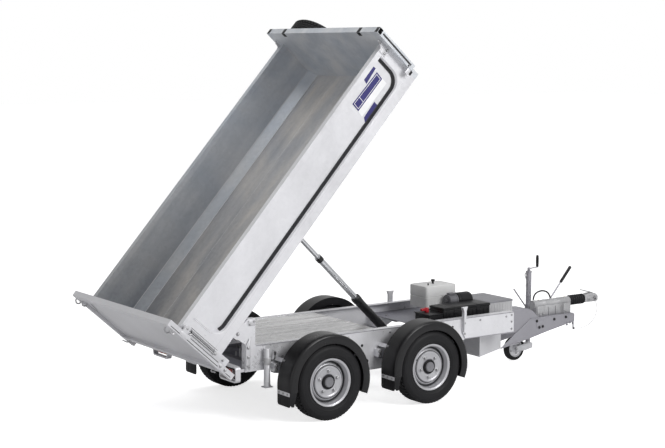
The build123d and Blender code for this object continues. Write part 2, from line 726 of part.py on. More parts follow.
with BuildPart() as oil_tank:
    with BuildSketch(Plane.XY.offset(pack_base_top_z + seat_gap)):
        with Locations((tank_x, tank_y)):
            RectangleRounded(320, 240, 22)
    extrude(amount=tank_top_z - pack_base_top_z - seat_gap)
    chamfer(oil_tank.faces().sort_by(Axis.Z)[-1].edges(), 8)
oil_tank.part.label = "oil_tank"
export_step(oil_tank.part, "parts/oil_tank.step")

with BuildPart() as tank_cap:
    with BuildSketch(Plane.XY.offset(tank_top_z + seat_gap)):
        with Locations((tank_x, tank_y)):
            Circle(9)
    extrude(amount=20)
    with BuildSketch(Plane.XY.offset(tank_top_z + 20)):
        with Locations((tank_x, tank_y)):
            Circle(17)
    extrude(amount=18)
tank_cap.part.label = "tank_cap"
export_step(tank_cap.part, "parts/tank_cap.step")

with BuildPart() as battery:
    for front_x, rear_x, height in ((1900, 1400, 146), (1400, 1250, 104)):
        with BuildSketch(Plane.XY.offset(tray_top_z + seat_gap)):
            with Locations((rear_axle_x + (front_x + rear_x) / 2, -250)):
                Rectangle(front_x - rear_x, 190)
        extrude(amount=height)
    chamfer(battery.faces().sort_by(Axis.Z)[-1].edges(), 6)
battery.part.label = "battery"
export_step(battery.part, "parts/battery.step")

# Locker on the bow, and the wedge-shaped tray under the front of the chassis
with BuildPart() as locker:
    with BuildSketch(Plane.XY.offset(bow_top_z + seat_gap)):
        with Locations(((locker_rear_x + locker_front_x) / 2, 0)):
            RectangleRounded(locker_front_x - locker_rear_x, 2 * locker_half_width, 14)
    extrude(amount=locker_top_z - bow_top_z - seat_gap)
    chamfer(locker.faces().sort_by(Axis.Z)[-1].edges(), 7)
locker.part.label = "locker"
export_step(locker.part, "parts/locker.step")

with BuildPart() as nose_tray:
    with BuildSketch(Plane(origin=(0, -nose_rear_half_width, 0), x_dir=(1, 0, 0), z_dir=(0, -1, 0))):
        with BuildLine():
            Polyline(
                (nose_rear_x, front_side_bottom_z - seat_gap), (nose_rear_x, nose_rear_z),
                (bow_front_x, nose_front_z), (bow_front_x, front_side_bottom_z - seat_gap), close=True)
        make_face()
    extrude(amount=-2 * nose_rear_half_width)
    with BuildSketch(Plane.XY.offset(nose_front_z)):
        with BuildLine():
            Polyline(
                (nose_rear_x, -nose_rear_half_width), (bow_front_x, -bow_half_width),
                (bow_front_x, bow_half_width), (nose_rear_x, nose_rear_half_width), close=True)
        make_face()
    extrude(amount=front_side_bottom_z - nose_front_z, mode=Mode.INTERSECT)
    offset(amount=-sheet, openings=nose_tray.faces().sort_by(Axis.Z)[-1])
nose_tray.part.label = "nose_tray"
export_step(nose_tray.part, "parts/nose_tray.step")

# Prop stands at the rear, stowed
with BuildPart() as prop_stands:
    for side in (-1, 1):
        with BuildSketch(Plane.XY.offset(262)):
            with Locations((rear_axle_x - 408, side * 520)):
                Circle(24)
        extrude(amount=290)
        with BuildSketch(Plane.XY.offset(262)):
            with Locations((rear_axle_x - 408, side * 520)):
                Rectangle(70, 60)
        extrude(amount=8)
        with BuildSketch(Plane.XY.offset(430)):
            with Locations((rear_axle_x - 408, side * (frame_half_width + 12))):
                Rectangle(40, 24 - 2 * seat_gap)
        extrude(amount=60)
prop_stands.part.label = "prop_stands"
export_step(prop_stands.part, "parts/prop_stands.step")

# Rear lamp bar with a hoop round each lamp, and the lamps
with BuildPart() as lamp_bar:
    with BuildSketch(Plane(origin=(lamp_bar_x, 0, lamp_z - 6), x_dir=(0, 1, 0), z_dir=(-1, 0, 0))):
        Rectangle(2 * lamp_y + lamp_width + 60, 52)
    extrude(amount=sheet)
    for side in (-1, 1):
        with BuildSketch(Plane(origin=(lamp_bar_x - sheet, side * lamp_y, lamp_z), x_dir=(0, 1, 0), z_dir=(-1, 0, 0))):
            RectangleRounded(lamp_width + 72, lamp_height + 54, 24)
            RectangleRounded(lamp_width + 48, lamp_height + 30, 14, mode=Mode.SUBTRACT)
        extrude(amount=lamp_depth + 6)
        with BuildSketch(Plane.XY.offset(rear_side_bottom_z + 2)):
            with Locations(((post_rear_x + lamp_bar_x - seat_gap) / 2, side * (frame_half_width - sheet - post_width / 2))):
                Rectangle(post_rear_x - lamp_bar_x - seat_gap, post_width - 6)
        extrude(amount=24)
lamp_bar.part.label = "lamp_bar"
export_step(lamp_bar.part, "parts/lamp_bar.step")

with BuildPart() as rear_lamps:
    for side in (-1, 1):
        with BuildSketch(
                Plane(origin=(lamp_bar_x - sheet - seat_gap, side * lamp_y, lamp_z), x_dir=(0, 1, 0), z_dir=(-1, 0, 0))):
            RectangleRounded(lamp_width, lamp_height, 10)
        extrude(amount=lamp_depth)
rear_lamps.part.label = "rear_lamps"
export_step(rear_lamps.part, "parts/rear_lamps.step")

# Bed floor and sill
with BuildPart() as bed_floor:
    with BuildSketch(bed.offset(floor_v - sheet)):
        with Locations(((bed_rear_u + bed_front_u) / 2, 0)):
            Rectangle(bed_front_u - bed_rear_u, 2 * floor_half_width)
    extrude(amount=sheet)
bed_floor.part.label = "bed_floor"
export_step(bed_floor.part, "parts/bed_floor.step")

# Bed sides: inner skin, sloped lower corner, hollow rails and the pressed outer frame
inner_w = side_half_width - side_depth
for name, side in (("bed_side_right", -1), ("bed_side_left", 1)):
    with BuildPart() as bed_side_piece:
        with BuildSketch(bed_end.offset(bed_rear_u)):
            with BuildLine():
                Polyline(
                    (side * inner_w, cove_v), (side * side_half_width, cove_v - 8),
                    (side * side_half_width, sill_v), (side * floor_half_width, sill_v),
                    (side * floor_half_width, floor_v), close=True)
            make_face()
            offset(amount=-sheet, mode=Mode.SUBTRACT)
        extrude(amount=bed_front_u - bed_rear_u)
        with BuildSketch(bed_end.offset(bed_rear_u)):
            with Locations((side * (inner_w + sheet / 2), (cove_v - 10 + side_top_v) / 2)):
                Rectangle(sheet, side_top_v - cove_v + 10)
        extrude(amount=bed_front_u - bed_rear_u)
        # pressed frame round the recess
        with BuildSketch(bed_side.offset(-side * side_half_width)):
            with Locations(((side_rear_u + bed_front_u) / 2, (cove_v - 9 + side_top_v - top_rail_height) / 2)):
                Rectangle(bed_front_u - side_rear_u, side_top_v - top_rail_height - cove_v + 9)
        extrude(amount=side * (side_depth - sheet))
        with BuildSketch(bed_side.offset(-side * side_half_width)) as recess:
            with Locations(((recess_rear_u + recess_front_u) / 2, (recess_bottom_v + side_top_v) / 2)):
                Rectangle(recess_front_u - recess_rear_u, side_top_v - recess_bottom_v)
            fillet(recess.vertices().group_by(Axis.Y)[0], recess_radius)
        extrude(amount=side * (side_depth - sheet), taper=recess_slope, mode=Mode.SUBTRACT)
        # hollow top rail, past the recess's open top
        with BuildSketch(bed_end.offset(bed_rear_u)):
            with Locations((side * (side_half_width - top_rail_width / 2), side_top_v - top_rail_height / 2)):
                Rectangle(top_rail_width, top_rail_height)
        extrude(amount=bed_front_u - bed_rear_u)
        with BuildSketch(bed_end.offset(bed_rear_u)):
            with Locations((side * (side_half_width - top_rail_width / 2), side_top_v - top_rail_height / 2)):
                Rectangle(top_rail_width - 2 * sheet, top_rail_height - 2 * sheet)
        extrude(amount=bed_front_u - bed_rear_u, mode=Mode.SUBTRACT)
        # rear post that the gate closes against
        with BuildSketch(bed_side.offset(-side * side_half_width)):
            with Locations(((bed_rear_u + side_rear_u) / 2, (rear_post_bottom_v + side_top_v) / 2)):
                Rectangle(side_rear_u - bed_rear_u, side_top_v - rear_post_bottom_v)
        extrude(amount=side * (side_depth - sheet))
        with BuildSketch(bed_side.offset(-side * side_half_width)):
            with Locations((gate_pivot_u, gate_pivot_v)):
                Circle(gate_pin_radius)
        extrude(amount=-side * 36)
    bed_side_piece.part.label = name
    export_step(bed_side_piece.part, f"parts/{name}.step")

# Headboard: skin with wings over the sides, framed in hollow rail
with BuildPart() as headboard:
    with BuildSketch(bed_end.offset(bed_front_u)):
        with BuildLine():
            Polyline(
                (-head_half_width, head_wing_v), (-head_half_width, head_top_v), (head_half_width, head_top_v),
                (head_half_width, head_wing_v), (side_half_width, head_wing_v), (side_half_width, sill_v),
                (-side_half_width, sill_v), (-side_half_width, head_wing_v), close=True)
        make_face()
    extrude(amount=sheet)
    with BuildSketch(bed_end.offset(bed_front_u)):
        with Locations((0, head_top_v - head_rail / 2)):
            Rectangle(2 * head_half_width, head_rail)
        for side in (-1, 1):
            with Locations((side * (head_half_width - head_rail / 2), (head_wing_v + head_top_v) / 2)):
                Rectangle(head_rail, head_top_v - head_wing_v)
            with Locations((side * (side_half_width - head_rail / 2), (sill_v + head_wing_v) / 2)):
                Rectangle(head_rail, head_wing_v - sill_v)
        with Locations((0, sill_v + head_rail / 2)):
            Rectangle(2 * side_half_width, head_rail)
        with Locations((0, spare_v)):
            Rectangle(2 * side_half_width, head_rail)
    extrude(amount=head_depth)
headboard.part.label = "headboard"
export_step(headboard.part, "parts/headboard.step")

# Spare wheel carrier: flange on the headboard that the disc bolts to
with BuildPart() as spare_carrier:
    with BuildSketch(Plane(origin=bed.from_local_coords(Vector(bed_front_u + head_depth, spare_w, spare_v)),
                           x_dir=(0, 1, 0), z_dir=bed_u)):
        Circle(100)
    extrude(amount=tyre_width / 2 + 2 + disc_face - 6 - seat_gap)
spare_carrier.part.label = "spare_carrier"
export_step(spare_carrier.part, "parts/spare_carrier.step")

# Bed rails with their hinge bosses and pins
with BuildPart() as bed_rails:
    for side in (-1, 1):
        rail_outer = bed_side.offset(-side * (rail_y + rail_width / 2))
        with BuildSketch(bed_end.offset(bed_rear_u + 10)):
            with Locations((side * rail_y, (rail_bottom_v + bearer_bottom_v) / 2)):
                Rectangle(rail_width, bearer_bottom_v - rail_bottom_v)
                Rectangle(rail_width - 2 * sheet, bearer_bottom_v - rail_bottom_v - 2 * sheet, mode=Mode.SUBTRACT)
        extrude(amount=bed_front_u - bed_rear_u - 20)
        with BuildSketch(rail_outer):
            Circle(ear_radius - 2)
            with Locations((0, rail_bottom_v / 2 + 10)):
                Rectangle(2 * ear_radius - 4, rail_bottom_v + 20)
        extrude(amount=side * rail_width)
        with BuildSketch(rail_outer):
            Circle(hinge_pin_radius - shaft_clearance)
        extrude(amount=-side * (frame_half_width - sheet - rail_y - rail_width / 2 - 1))
bed_rails.part.label = "bed_rails"
export_step(bed_rails.part, "parts/bed_rails.step")

# Cross bearers under the floor: middle of each along the bed
bearer_stations = (-150, 330, 820, 1130, 1500, 1850, 2200)
with BuildPart() as bed_bearers:
    for u in bearer_stations:
        with BuildSketch(bed.offset(bearer_bottom_v)):
            with Locations((u, 0)):
                Rectangle(bearer_width, 2 * floor_half_width - 2)
        extrude(amount=floor_v - sheet - bearer_bottom_v)
    with BuildSketch(bed.offset(rear_post_bottom_v)):
        with Locations((bed_rear_u + 30, 0)):
            Rectangle(40, 2 * (rail_y - rail_width / 2) - 2)
    extrude(amount=floor_v - sheet - rear_post_bottom_v)
bed_bearers.part.label = "bed_bearers"
export_step(bed_bearers.part, "parts/bed_bearers.step")

# Ram's upper bracket: two long plates between two bearers
with BuildPart() as ram_bracket:
    for y in (-ram_ear_gap / 2 - ram_ear_thickness, ram_ear_gap / 2):
        with BuildSketch(bed_side.offset(-y)):
            with BuildLine():
                Polyline(
                    (bearer_stations[2] + bearer_width / 2, floor_v - sheet),
                    (bearer_stations[3] - bearer_width / 2, floor_v - sheet),
                    (bearer_stations[3] - bearer_width / 2, bearer_bottom_v),
                    (ram_head_u + 28, ram_head_v - 10), (ram_head_u - 28, ram_head_v - 10),
                    (bearer_stations[2] + bearer_width / 2, bearer_bottom_v), close=True)
            make_face()
            with Locations((ram_head_u, ram_head_v)):
                Circle(30)
        extrude(amount=-ram_ear_thickness)
ram_bracket.part.label = "ram_bracket"
export_step(ram_bracket.part, "parts/ram_bracket.step")

# Tailgate: framed skin with arms forward to its top pivots
with BuildPart() as tailgate:
    for side in (-1, 1):
        with BuildSketch(bed_end.offset(gate_front_u)):
            with Locations((side * (head_half_width - gate_tube / 2), (gate_bottom_v + gate_top_v) / 2)):
                Rectangle(gate_tube, gate_top_v - gate_bottom_v)
        extrude(amount=-gate_depth)
        with BuildSketch(bed_side.offset(-side * (head_half_width - 10))):
            with BuildLine():
                Polyline(
                    (gate_front_u - 10, gate_pivot_v - 26), (gate_front_u - 10, gate_pivot_v + 26),
                    (gate_pivot_u, gate_pivot_v + 22), (gate_pivot_u, gate_pivot_v - 22), close=True)
            make_face()
            with Locations((gate_pivot_u, gate_pivot_v)):
                Circle(22)
                Circle(gate_pin_radius + shaft_clearance, mode=Mode.SUBTRACT)
        extrude(amount=side * 14)
    with BuildSketch(bed_end.offset(gate_front_u)):
        with Locations((0, gate_top_v - 25)):
            Rectangle(2 * head_half_width, 50)
        with Locations((0, gate_skin_bottom_v + 20)):
            Rectangle(2 * head_half_width, 40)
    extrude(amount=-gate_depth)
    with BuildSketch(bed_end.offset(gate_front_u - 18)):
        with Locations((0, (gate_skin_bottom_v + gate_top_v) / 2)):
            Rectangle(2 * head_half_width - gate_tube, gate_top_v - gate_skin_bottom_v)
    extrude(amount=-sheet)
tailgate.part.label = "tailgate"
export_step(tailgate.part, "parts/tailgate.step")

# Ram: barrel and two chromed stages along one line, from the foot's pin to the bed's bracket
head_point = bed.from_local_coords(Vector(ram_head_u, 0, ram_head_v))
ram_x = head_point.X - ram_base_x
ram_z = head_point.Z - ram_base_z
ram_length = hypot(ram_x, ram_z)
ram_dir = Vector(ram_x / ram_length, 0, ram_z / ram_length)
ram_axis = Plane(origin=(ram_base_x, 0, ram_base_z), x_dir=(0, 1, 0), z_dir=ram_dir)
cross_axis = Plane(origin=(ram_base_x, -ram_ear_gap / 2 - ram_ear_thickness - 8, ram_base_z),
                   x_dir=(1, 0, 0), z_dir=(0, 1, 0))
bore_1 = stage_1_radius + shaft_clearance
bore_2 = stage_2_radius + shaft_clearance
with BuildPart() as ram_barrel:
    with BuildSketch(ram_axis):
        Rectangle(ram_ear_gap - 4, 50)
    extrude(amount=40)
    with BuildSketch(ram_axis.offset(36)):
        Circle(barrel_radius)
    extrude(amount=barrel_length - 36)
    with BuildSketch(ram_axis.offset(50)):
        Circle(bore_1)
    extrude(amount=barrel_length - 50, mode=Mode.SUBTRACT)
    with BuildSketch(Plane(origin=(ram_base_x, -ram_ear_gap / 2 + 2, ram_base_z), x_dir=(1, 0, 0), z_dir=(0, 1, 0))):
        Circle(28)
    extrude(amount=ram_ear_gap - 4)
    with BuildSketch(cross_axis):
        Circle(ram_pin_radius - shaft_clearance)
    extrude(amount=ram_ear_gap + 2 * ram_ear_thickness + 16)
ram_barrel.part.label = "ram_barrel"
export_step(ram_barrel.part, "parts/ram_barrel.step")

with BuildPart() as ram_stage_1:
    with BuildSketch(ram_axis.offset(barrel_length - 55)):
        Circle(stage_1_radius)
    extrude(amount=stage_1_reach + 55)
    with BuildSketch(ram_axis.offset(barrel_length + stage_1_reach - 24)):
        Circle(stage_1_radius + 3)
    extrude(amount=24)
    with BuildSketch(ram_axis.offset(barrel_length - 45)):
        Circle(bore_2)
    extrude(amount=stage_1_reach + 45, mode=Mode.SUBTRACT)
ram_stage_1.part.label = "ram_stage_1"
export_step(ram_stage_1.part, "parts/ram_stage_1.step")

with BuildPart() as ram_stage_2:
    with BuildSketch(ram_axis.offset(barrel_length + stage_1_reach - 50)):
        Circle(stage_2_radius)
    extrude(amount=ram_length - barrel_length - stage_1_reach + 50 - 18)
    with BuildSketch(Plane(origin=(head_point.X, -ram_ear_gap / 2 + 3, head_point.Z), x_dir=(1, 0, 0), z_dir=(0, 1, 0))):
        Circle(25)
    extrude(amount=ram_ear_gap - 6)
ram_stage_2.part.label = "ram_stage_2"
export_step(ram_stage_2.part, "parts/ram_stage_2.step")


def corner_radii(points):
    """Arc radius at each corner of a cord's route, from its shorter run and half its turn."""
    radii = []
    for before, corner, after in zip(points, points[1:], points[2:]):
        run_in = Vector(*corner) - Vector(*before)
        run_out = Vector(*after) - Vector(*corner)
        half_turn = radians(run_in.get_angle(run_out) / 2)
        radii.append(0.45 * min(run_in.length, run_out.length) / tan(half_turn))
    return radii


# Cords: name, diameter, route with X from the rear axle
cords = [
    ("breakaway_cable", 4.0, [
        (3099.8, -88, 268), (3138, -84, 260), (3188, -78, 256), (3240, -72, 259), (3290, -66, 268), (3338, -60, 286),
        (3380, -55, 316), (3410, -52, 358), (3424, -50, 406), (3418, -48, 450), (3403, -45, 474), (3388, -38.2, 487)]),
    ("lead_loop", 14.0, [
        (2700, 10, 544.6), (2704, 10, 578), (2733, 10, 607), (2787, 10, 621), (2846, 10, 612), (2888, 10, 584),
        (2902, 10, 546.5)]),
]
for name, diameter, route_points in cords:
    points = [(rear_axle_x + x, y, z) for x, y, z in route_points]
    radii = corner_radii(points)
    with BuildPart() as cord:
        with BuildLine() as route:
            FilletPolyline(*points, radius=radii)
        with BuildSketch(Plane(origin=points[0], z_dir=Vector(*points[1]) - Vector(*points[0]))):
            Circle(diameter / 2)
        sweep()
    cord.part.label = name
    export_step(cord.part, f"parts/{name}.step")
    length = sum(edge.length for edge in route.line.edges())
    share = cord.part.volume / (length * pi * diameter ** 2 / 4)
    print(name, "length", round(length), "radii", [round(r) for r in radii], "volume share", round(share, 4))
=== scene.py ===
import json
from math import cos, pi, radians, sin

import bmesh
import bpy
from mathutils import Matrix, Vector


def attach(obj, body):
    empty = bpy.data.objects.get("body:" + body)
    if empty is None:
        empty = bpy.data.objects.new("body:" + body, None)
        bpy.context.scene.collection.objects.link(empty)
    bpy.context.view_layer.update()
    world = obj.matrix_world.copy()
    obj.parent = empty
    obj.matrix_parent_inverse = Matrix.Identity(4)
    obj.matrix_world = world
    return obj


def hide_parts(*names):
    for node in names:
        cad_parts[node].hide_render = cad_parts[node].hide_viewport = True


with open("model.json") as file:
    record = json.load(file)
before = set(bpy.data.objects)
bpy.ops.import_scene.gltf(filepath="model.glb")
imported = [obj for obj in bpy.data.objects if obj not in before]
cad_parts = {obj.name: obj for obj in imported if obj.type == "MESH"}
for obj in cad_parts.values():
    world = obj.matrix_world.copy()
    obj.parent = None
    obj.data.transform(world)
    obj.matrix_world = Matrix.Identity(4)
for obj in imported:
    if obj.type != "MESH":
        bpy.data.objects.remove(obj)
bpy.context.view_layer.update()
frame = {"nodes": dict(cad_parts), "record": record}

bl_info = {
    "name": "Tipping trailer looks",
    "version": (1, 1, 0),
    "blender": (4, 5, 0),
    "location": "View3D > Sidebar > Trailer",
    "description": "Surfaces, fittings and studio for a tipping trailer",
    "category": "Object",
}

NODES = frame["nodes"]

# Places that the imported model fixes. Lengths are in millimetres up to hand_over.
REAR_AXLE = -1046
FRONT_AXLE = -94
AXLE_Z = 288
WHEEL_Y = 691
FRAME_FRONT = REAR_AXLE + 2030
HINGE = Vector((REAR_AXLE - 640, 0, 680))
TIP = radians(48.24)
BED_U = Vector((cos(TIP), 0, sin(TIP)))
BED_V = Vector((-sin(TIP), 0, cos(TIP)))
BED_W = Vector((0, 1, 0))
BED_LENGTH = 2.6            # metres, as the materials' coordinates are
GATE_PIVOT_V = 512
NUT_CIRCLE = 82.5
SIDES = (-1, 1)
FRAME_FACE = 492.5          # outer face of the side members, from the middle
RAIL_END = 764.1            # end face of the headboard's and tailgate's posts
LATCH_U = -266
TO_METRES = Matrix.Scale(0.001, 4)
ROAD_WHEELS = (
    ("rear_right", REAR_AXLE, -1), ("rear_left", REAR_AXLE, 1),
    ("front_right", FRONT_AXLE, -1), ("front_left", FRONT_AXLE, 1),
)


def axes(origin, x_axis, y_axis):
    """Matrix that carries local x, y and their normal to the given directions."""
    x_axis = Vector(x_axis).normalized()
    z_axis = x_axis.cross(Vector(y_axis)).normalized()
    y_axis = z_axis.cross(x_axis)
    matrix = Matrix((x_axis, y_axis, z_axis)).transposed().to_4x4()
    matrix.translation = Vector(origin)
    return matrix


def level(x=0.0, y=0.0, z=0.0):
    return Matrix.Translation((x, y, z))


def side_on(x=0.0, y=0.0, z=0.0):
    """Local x forward, local y up, local z to the right."""
    return axes((x, y, z), (1, 0, 0), (0, 0, 1))


def end_on(x=0.0, y=0.0, z=0.0):
    """Local x to the left, local y up, local z forward."""
    return axes((x, y, z), (0, 1, 0), (0, 0, 1))


def outboard(x, y, z, side):
    """Local x forward, local z out to one side."""
    return axes((x, y, z), (1, 0, 0), (0, 0, -side))


def outward(side, x, y, z):
    """Place on one side of the trailer with its direction out, for a fastener."""
    return Vector((x, side * y, z)), (0, side, 0)


def outward_on_bed(side, u, w, v):
    """The same on the bed."""
    return bed_side(u, side * w, v).translation, (0, side, 0)


def both_faces(half):
    """Profile of radius and height from its half above the middle plane."""
    return half[::-1] + [(r, -z) for r, z in half[1:]]


def bed(u=0.0, w=0.0, v=0.0):
    """Local x along the bed, y to the left, z up off its floor."""
    return axes(HINGE + BED_U * u + BED_W * w + BED_V * v, BED_U, BED_W)


def bed_side(u=0.0, w=0.0, v=0.0):
    """Local x along the bed, y up its side, z to the right."""
    return axes(HINGE + BED_U * u + BED_W * w + BED_V * v, BED_U, BED_V)


def bed_end(u=0.0, w=0.0, v=0.0):
    """Local x to the left, y up the bed's end, z forward along the bed."""
    return axes(HINGE + BED_U * u + BED_W * w + BED_V * v, BED_W, BED_V)


def along(start, end, turn=(0, 1, 0)):
    """Local z from start to end, origin at start."""
    run = (Vector(end) - Vector(start)).normalized()
    x_axis = Vector(turn).cross(run)
    if x_axis.length < 1e-4:
        x_axis = Vector((1, 0, 0)).cross(run)
    return axes(start, x_axis, run.cross(x_axis))


class Form:
    """Closed shapes gathered in one mesh that becomes a finished piece."""

    def __init__(self):
        self.bm = bmesh.new()

    def take(self, source, matrix, bevel=0.0, segments=2):
        """Round the edges of a shape, put it in place and add it."""
        if bevel > 0:
            bmesh.ops.recalc_face_normals(source, faces=source.faces)
            sharp = [e for e in source.edges if e.is_manifold and e.calc_face_angle(0.0) > 0.5]
            bmesh.ops.bevel(source, geom=sharp, offset=bevel, segments=segments, profile=0.5,
                            affect="EDGES", clamp_overlap=True)
        bmesh.ops.transform(source, matrix=matrix, verts=source.verts)
        bmesh.ops.recalc_face_normals(source, faces=source.faces)
        temp = bpy.data.meshes.new("temp")
        source.to_mesh(temp)
        source.free()
        self.bm.from_mesh(temp)
        bpy.data.meshes.remove(temp)
        return self

    def block(self, matrix, size, at=(0, 0, 0), bevel=2, segments=2):
        """Block of a size about a point, with rounded edges."""
        source = bmesh.new()
        bmesh.ops.create_cube(source, size=1.0)
        bmesh.ops.scale(source, vec=size, verts=source.verts)
        bmesh.ops.translate(source, vec=at, verts=source.verts)
        return self.take(source, matrix, min(bevel, min(size) * 0.3), segments)

    def plate(self, matrix, outline, depth, lift=0.0, bevel=0.0, segments=2):
        """Outline in local x and y, thickened along local z."""
        source = bmesh.new()
        face = source.faces.new([source.verts.new((x, y, lift)) for x, y in outline])
        grown = bmesh.ops.extrude_face_region(source, geom=[face])
        top = [v for v in grown["geom"] if isinstance(v, bmesh.types.BMVert)]
        bmesh.ops.translate(source, vec=(0, 0, depth), verts=top)
        return self.take(source, matrix, bevel, segments)

    def turned(self, matrix, profile, sides=48, closed=False):
        """Profile of radius and height turned about local z."""
        source = bmesh.new()
        rings = []
        for radius, height in profile:
            if radius < 1e-6:
                rings.append([source.verts.new((0, 0, height))])
                continue
            rings.append([source.verts.new((radius * cos(2 * pi * i / sides),
                                            radius * sin(2 * pi * i / sides), height))
                          for i in range(sides)])
        pairs = list(zip(rings, rings[1:]))
        if closed:
            pairs.append((rings[-1], rings[0]))
        for lower, upper in pairs:
            for i in range(sides):
                j = (i + 1) % sides
                corners = [lower[i % len(lower)], lower[j % len(lower)], upper[j % len(upper)],
                           upper[i % len(upper)]]
                corners = list(dict.fromkeys(corners))
                if len(corners) > 2:
                    source.faces.new(corners)
        if not closed:
            for ring in (rings[0], rings[-1]):
                if len(ring) > 1:
                    source.faces.new(ring)
        return self.take(source, matrix)

    def skin(self, matrix, rings):
        """Skin over rings of as many points each, closed at both ends."""
        source = bmesh.new()
        made = [[source.verts.new(p) for p in ring] for ring in rings]
        for lower, upper in zip(made, made[1:]):
            for i in range(len(lower)):
                j = (i + 1) % len(lower)
                source.faces.new((lower[i], lower[j], upper[j], upper[i]))
        source.faces.new(made[0])
        source.faces.new(made[-1])
        return self.take(source, matrix)

    def pipe(self, matrix, points, radius, sides=14, closed=False):
        """Round bar that follows points, as a rod or wire bent through them."""
        points = [Vector(p) for p in points]
        count = len(points)
        tangents = []
        for i in range(count):
            before = points[i - 1] if i or closed else points[i]
            after = points[(i + 1) % count] if i < count - 1 or closed else points[i]
            tangents.append((after - before).normalized())
        guide = Vector((0, 0, 1)) if abs(tangents[0].z) < 0.9 else Vector((1, 0, 0))
        rings = []
        for point, tangent in zip(points, tangents):
            guide = (guide - tangent * guide.dot(tangent)).normalized()
            other = tangent.cross(guide)
            rings.append([point + (guide * cos(2 * pi * k / sides) + other * sin(2 * pi * k / sides)) * radius
                          for k in range(sides)])
        if not closed:
            return self.skin(matrix, rings)
        source = bmesh.new()
        made = [[source.verts.new(p) for p in ring] for ring in rings]
        for lower, upper in zip(made, made[1:] + made[:1]):
            for i in range(sides):
                j = (i + 1) % sides
                source.faces.new((lower[i], lower[j], upper[j], upper[i]))
        return self.take(source, matrix)

    def piece(self, name, body, finish, replaces=(), crease=32.0, slotted=True):
        """Hand the mesh over as a piece that rides on a body."""
        mesh = bpy.data.meshes.new(name)
        self.bm.to_mesh(mesh)
        self.bm.free()
        return hand_over(name, mesh, body, finish, replaces, crease)


def hand_over(name, mesh, body, finish, replaces=(), crease=32.0):
    """Object for a mesh in millimetres: size in metres, shading, material and body."""
    mesh.transform(TO_METRES)
    for face in mesh.polygons:
        face.use_smooth = True
    mesh.set_sharp_from_angle(angle=radians(crease))
    mesh.materials.clear()
    mesh.materials.append(MATERIALS[finish])
    made = bpy.data.objects.new(name, mesh)
    bpy.context.scene.collection.objects.link(made)
    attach(made, body)
    if replaces:
        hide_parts(*replaces)
    return made


def arc(radius, start, end, steps, centre=(0.0, 0.0)):
    """Points on an arc, angles in degrees."""
    return [(centre[0] + radius * cos(radians(start + (end - start) * i / steps)),
             centre[1] + radius * sin(radians(start + (end - start) * i / steps))) for i in range(steps + 1)]


def rounded(width, height, radius, steps=4, centre=(0.0, 0.0)):
    """Outline of a rectangle with round corners."""
    points = []
    for sx, sy, start in ((1, 1, 0), (-1, 1, 90), (-1, -1, 180), (1, -1, 270)):
        corner = (centre[0] + sx * (width / 2 - radius), centre[1] + sy * (height / 2 - radius))
        points += arc(radius, start, start + 90, steps, corner)
    return points


class Level:
    """A socket's value in a node tree that takes part in plain arithmetic."""

    def __init__(self, network, socket):
        self.network = network
        self.socket = socket

    def _sum(self, operation, *values, clamp=False):
        made = self.network.node(
            "ShaderNodeMath", {"operation": operation, "use_clamp": clamp}, dict(enumerate(values)))
        return Level(self.network, made.outputs[0])

    def __add__(self, other):
        return self._sum("ADD", self, other)

    def __sub__(self, other):
        return self._sum("SUBTRACT", self, other)

    def __mul__(self, other):
        return self._sum("MULTIPLY", self, other)

    def __rtruediv__(self, other):
        return self._sum("DIVIDE", other, self)

    def __mod__(self, other):
        return self._sum("FLOORED_MODULO", self, other)

    def clamp(self):
        return self._sum("ADD", self, 0.0, clamp=True)

    def power(self, value):
        return self._sum("POWER", self.clamp(), value)

    def sine(self):
        return self._sum("SINE", self)


class Network:
    """A node tree, and the one way that its nodes are made."""

    def __init__(self, tree):
        self.tree = tree

    def node(self, kind, settings=None, sockets=None):
        """Node of a kind: its settings first, then its sockets' values or links."""
        made = self.tree.nodes.new(kind)
        for name, value in (settings or {}).items():
            setattr(made, name, value)
        for key, value in (sockets or {}).items():
            self.feed(made.inputs[key], value)
        return made

    def feed(self, socket, value):
        if isinstance(value, Level):
            value = value.socket
        if isinstance(value, bpy.types.NodeSocket):
            self.tree.links.new(value, socket)
        elif socket.type == "RGBA" and len(value) == 3:
            socket.default_value = (*value, 1.0)
        else:
            socket.default_value = value


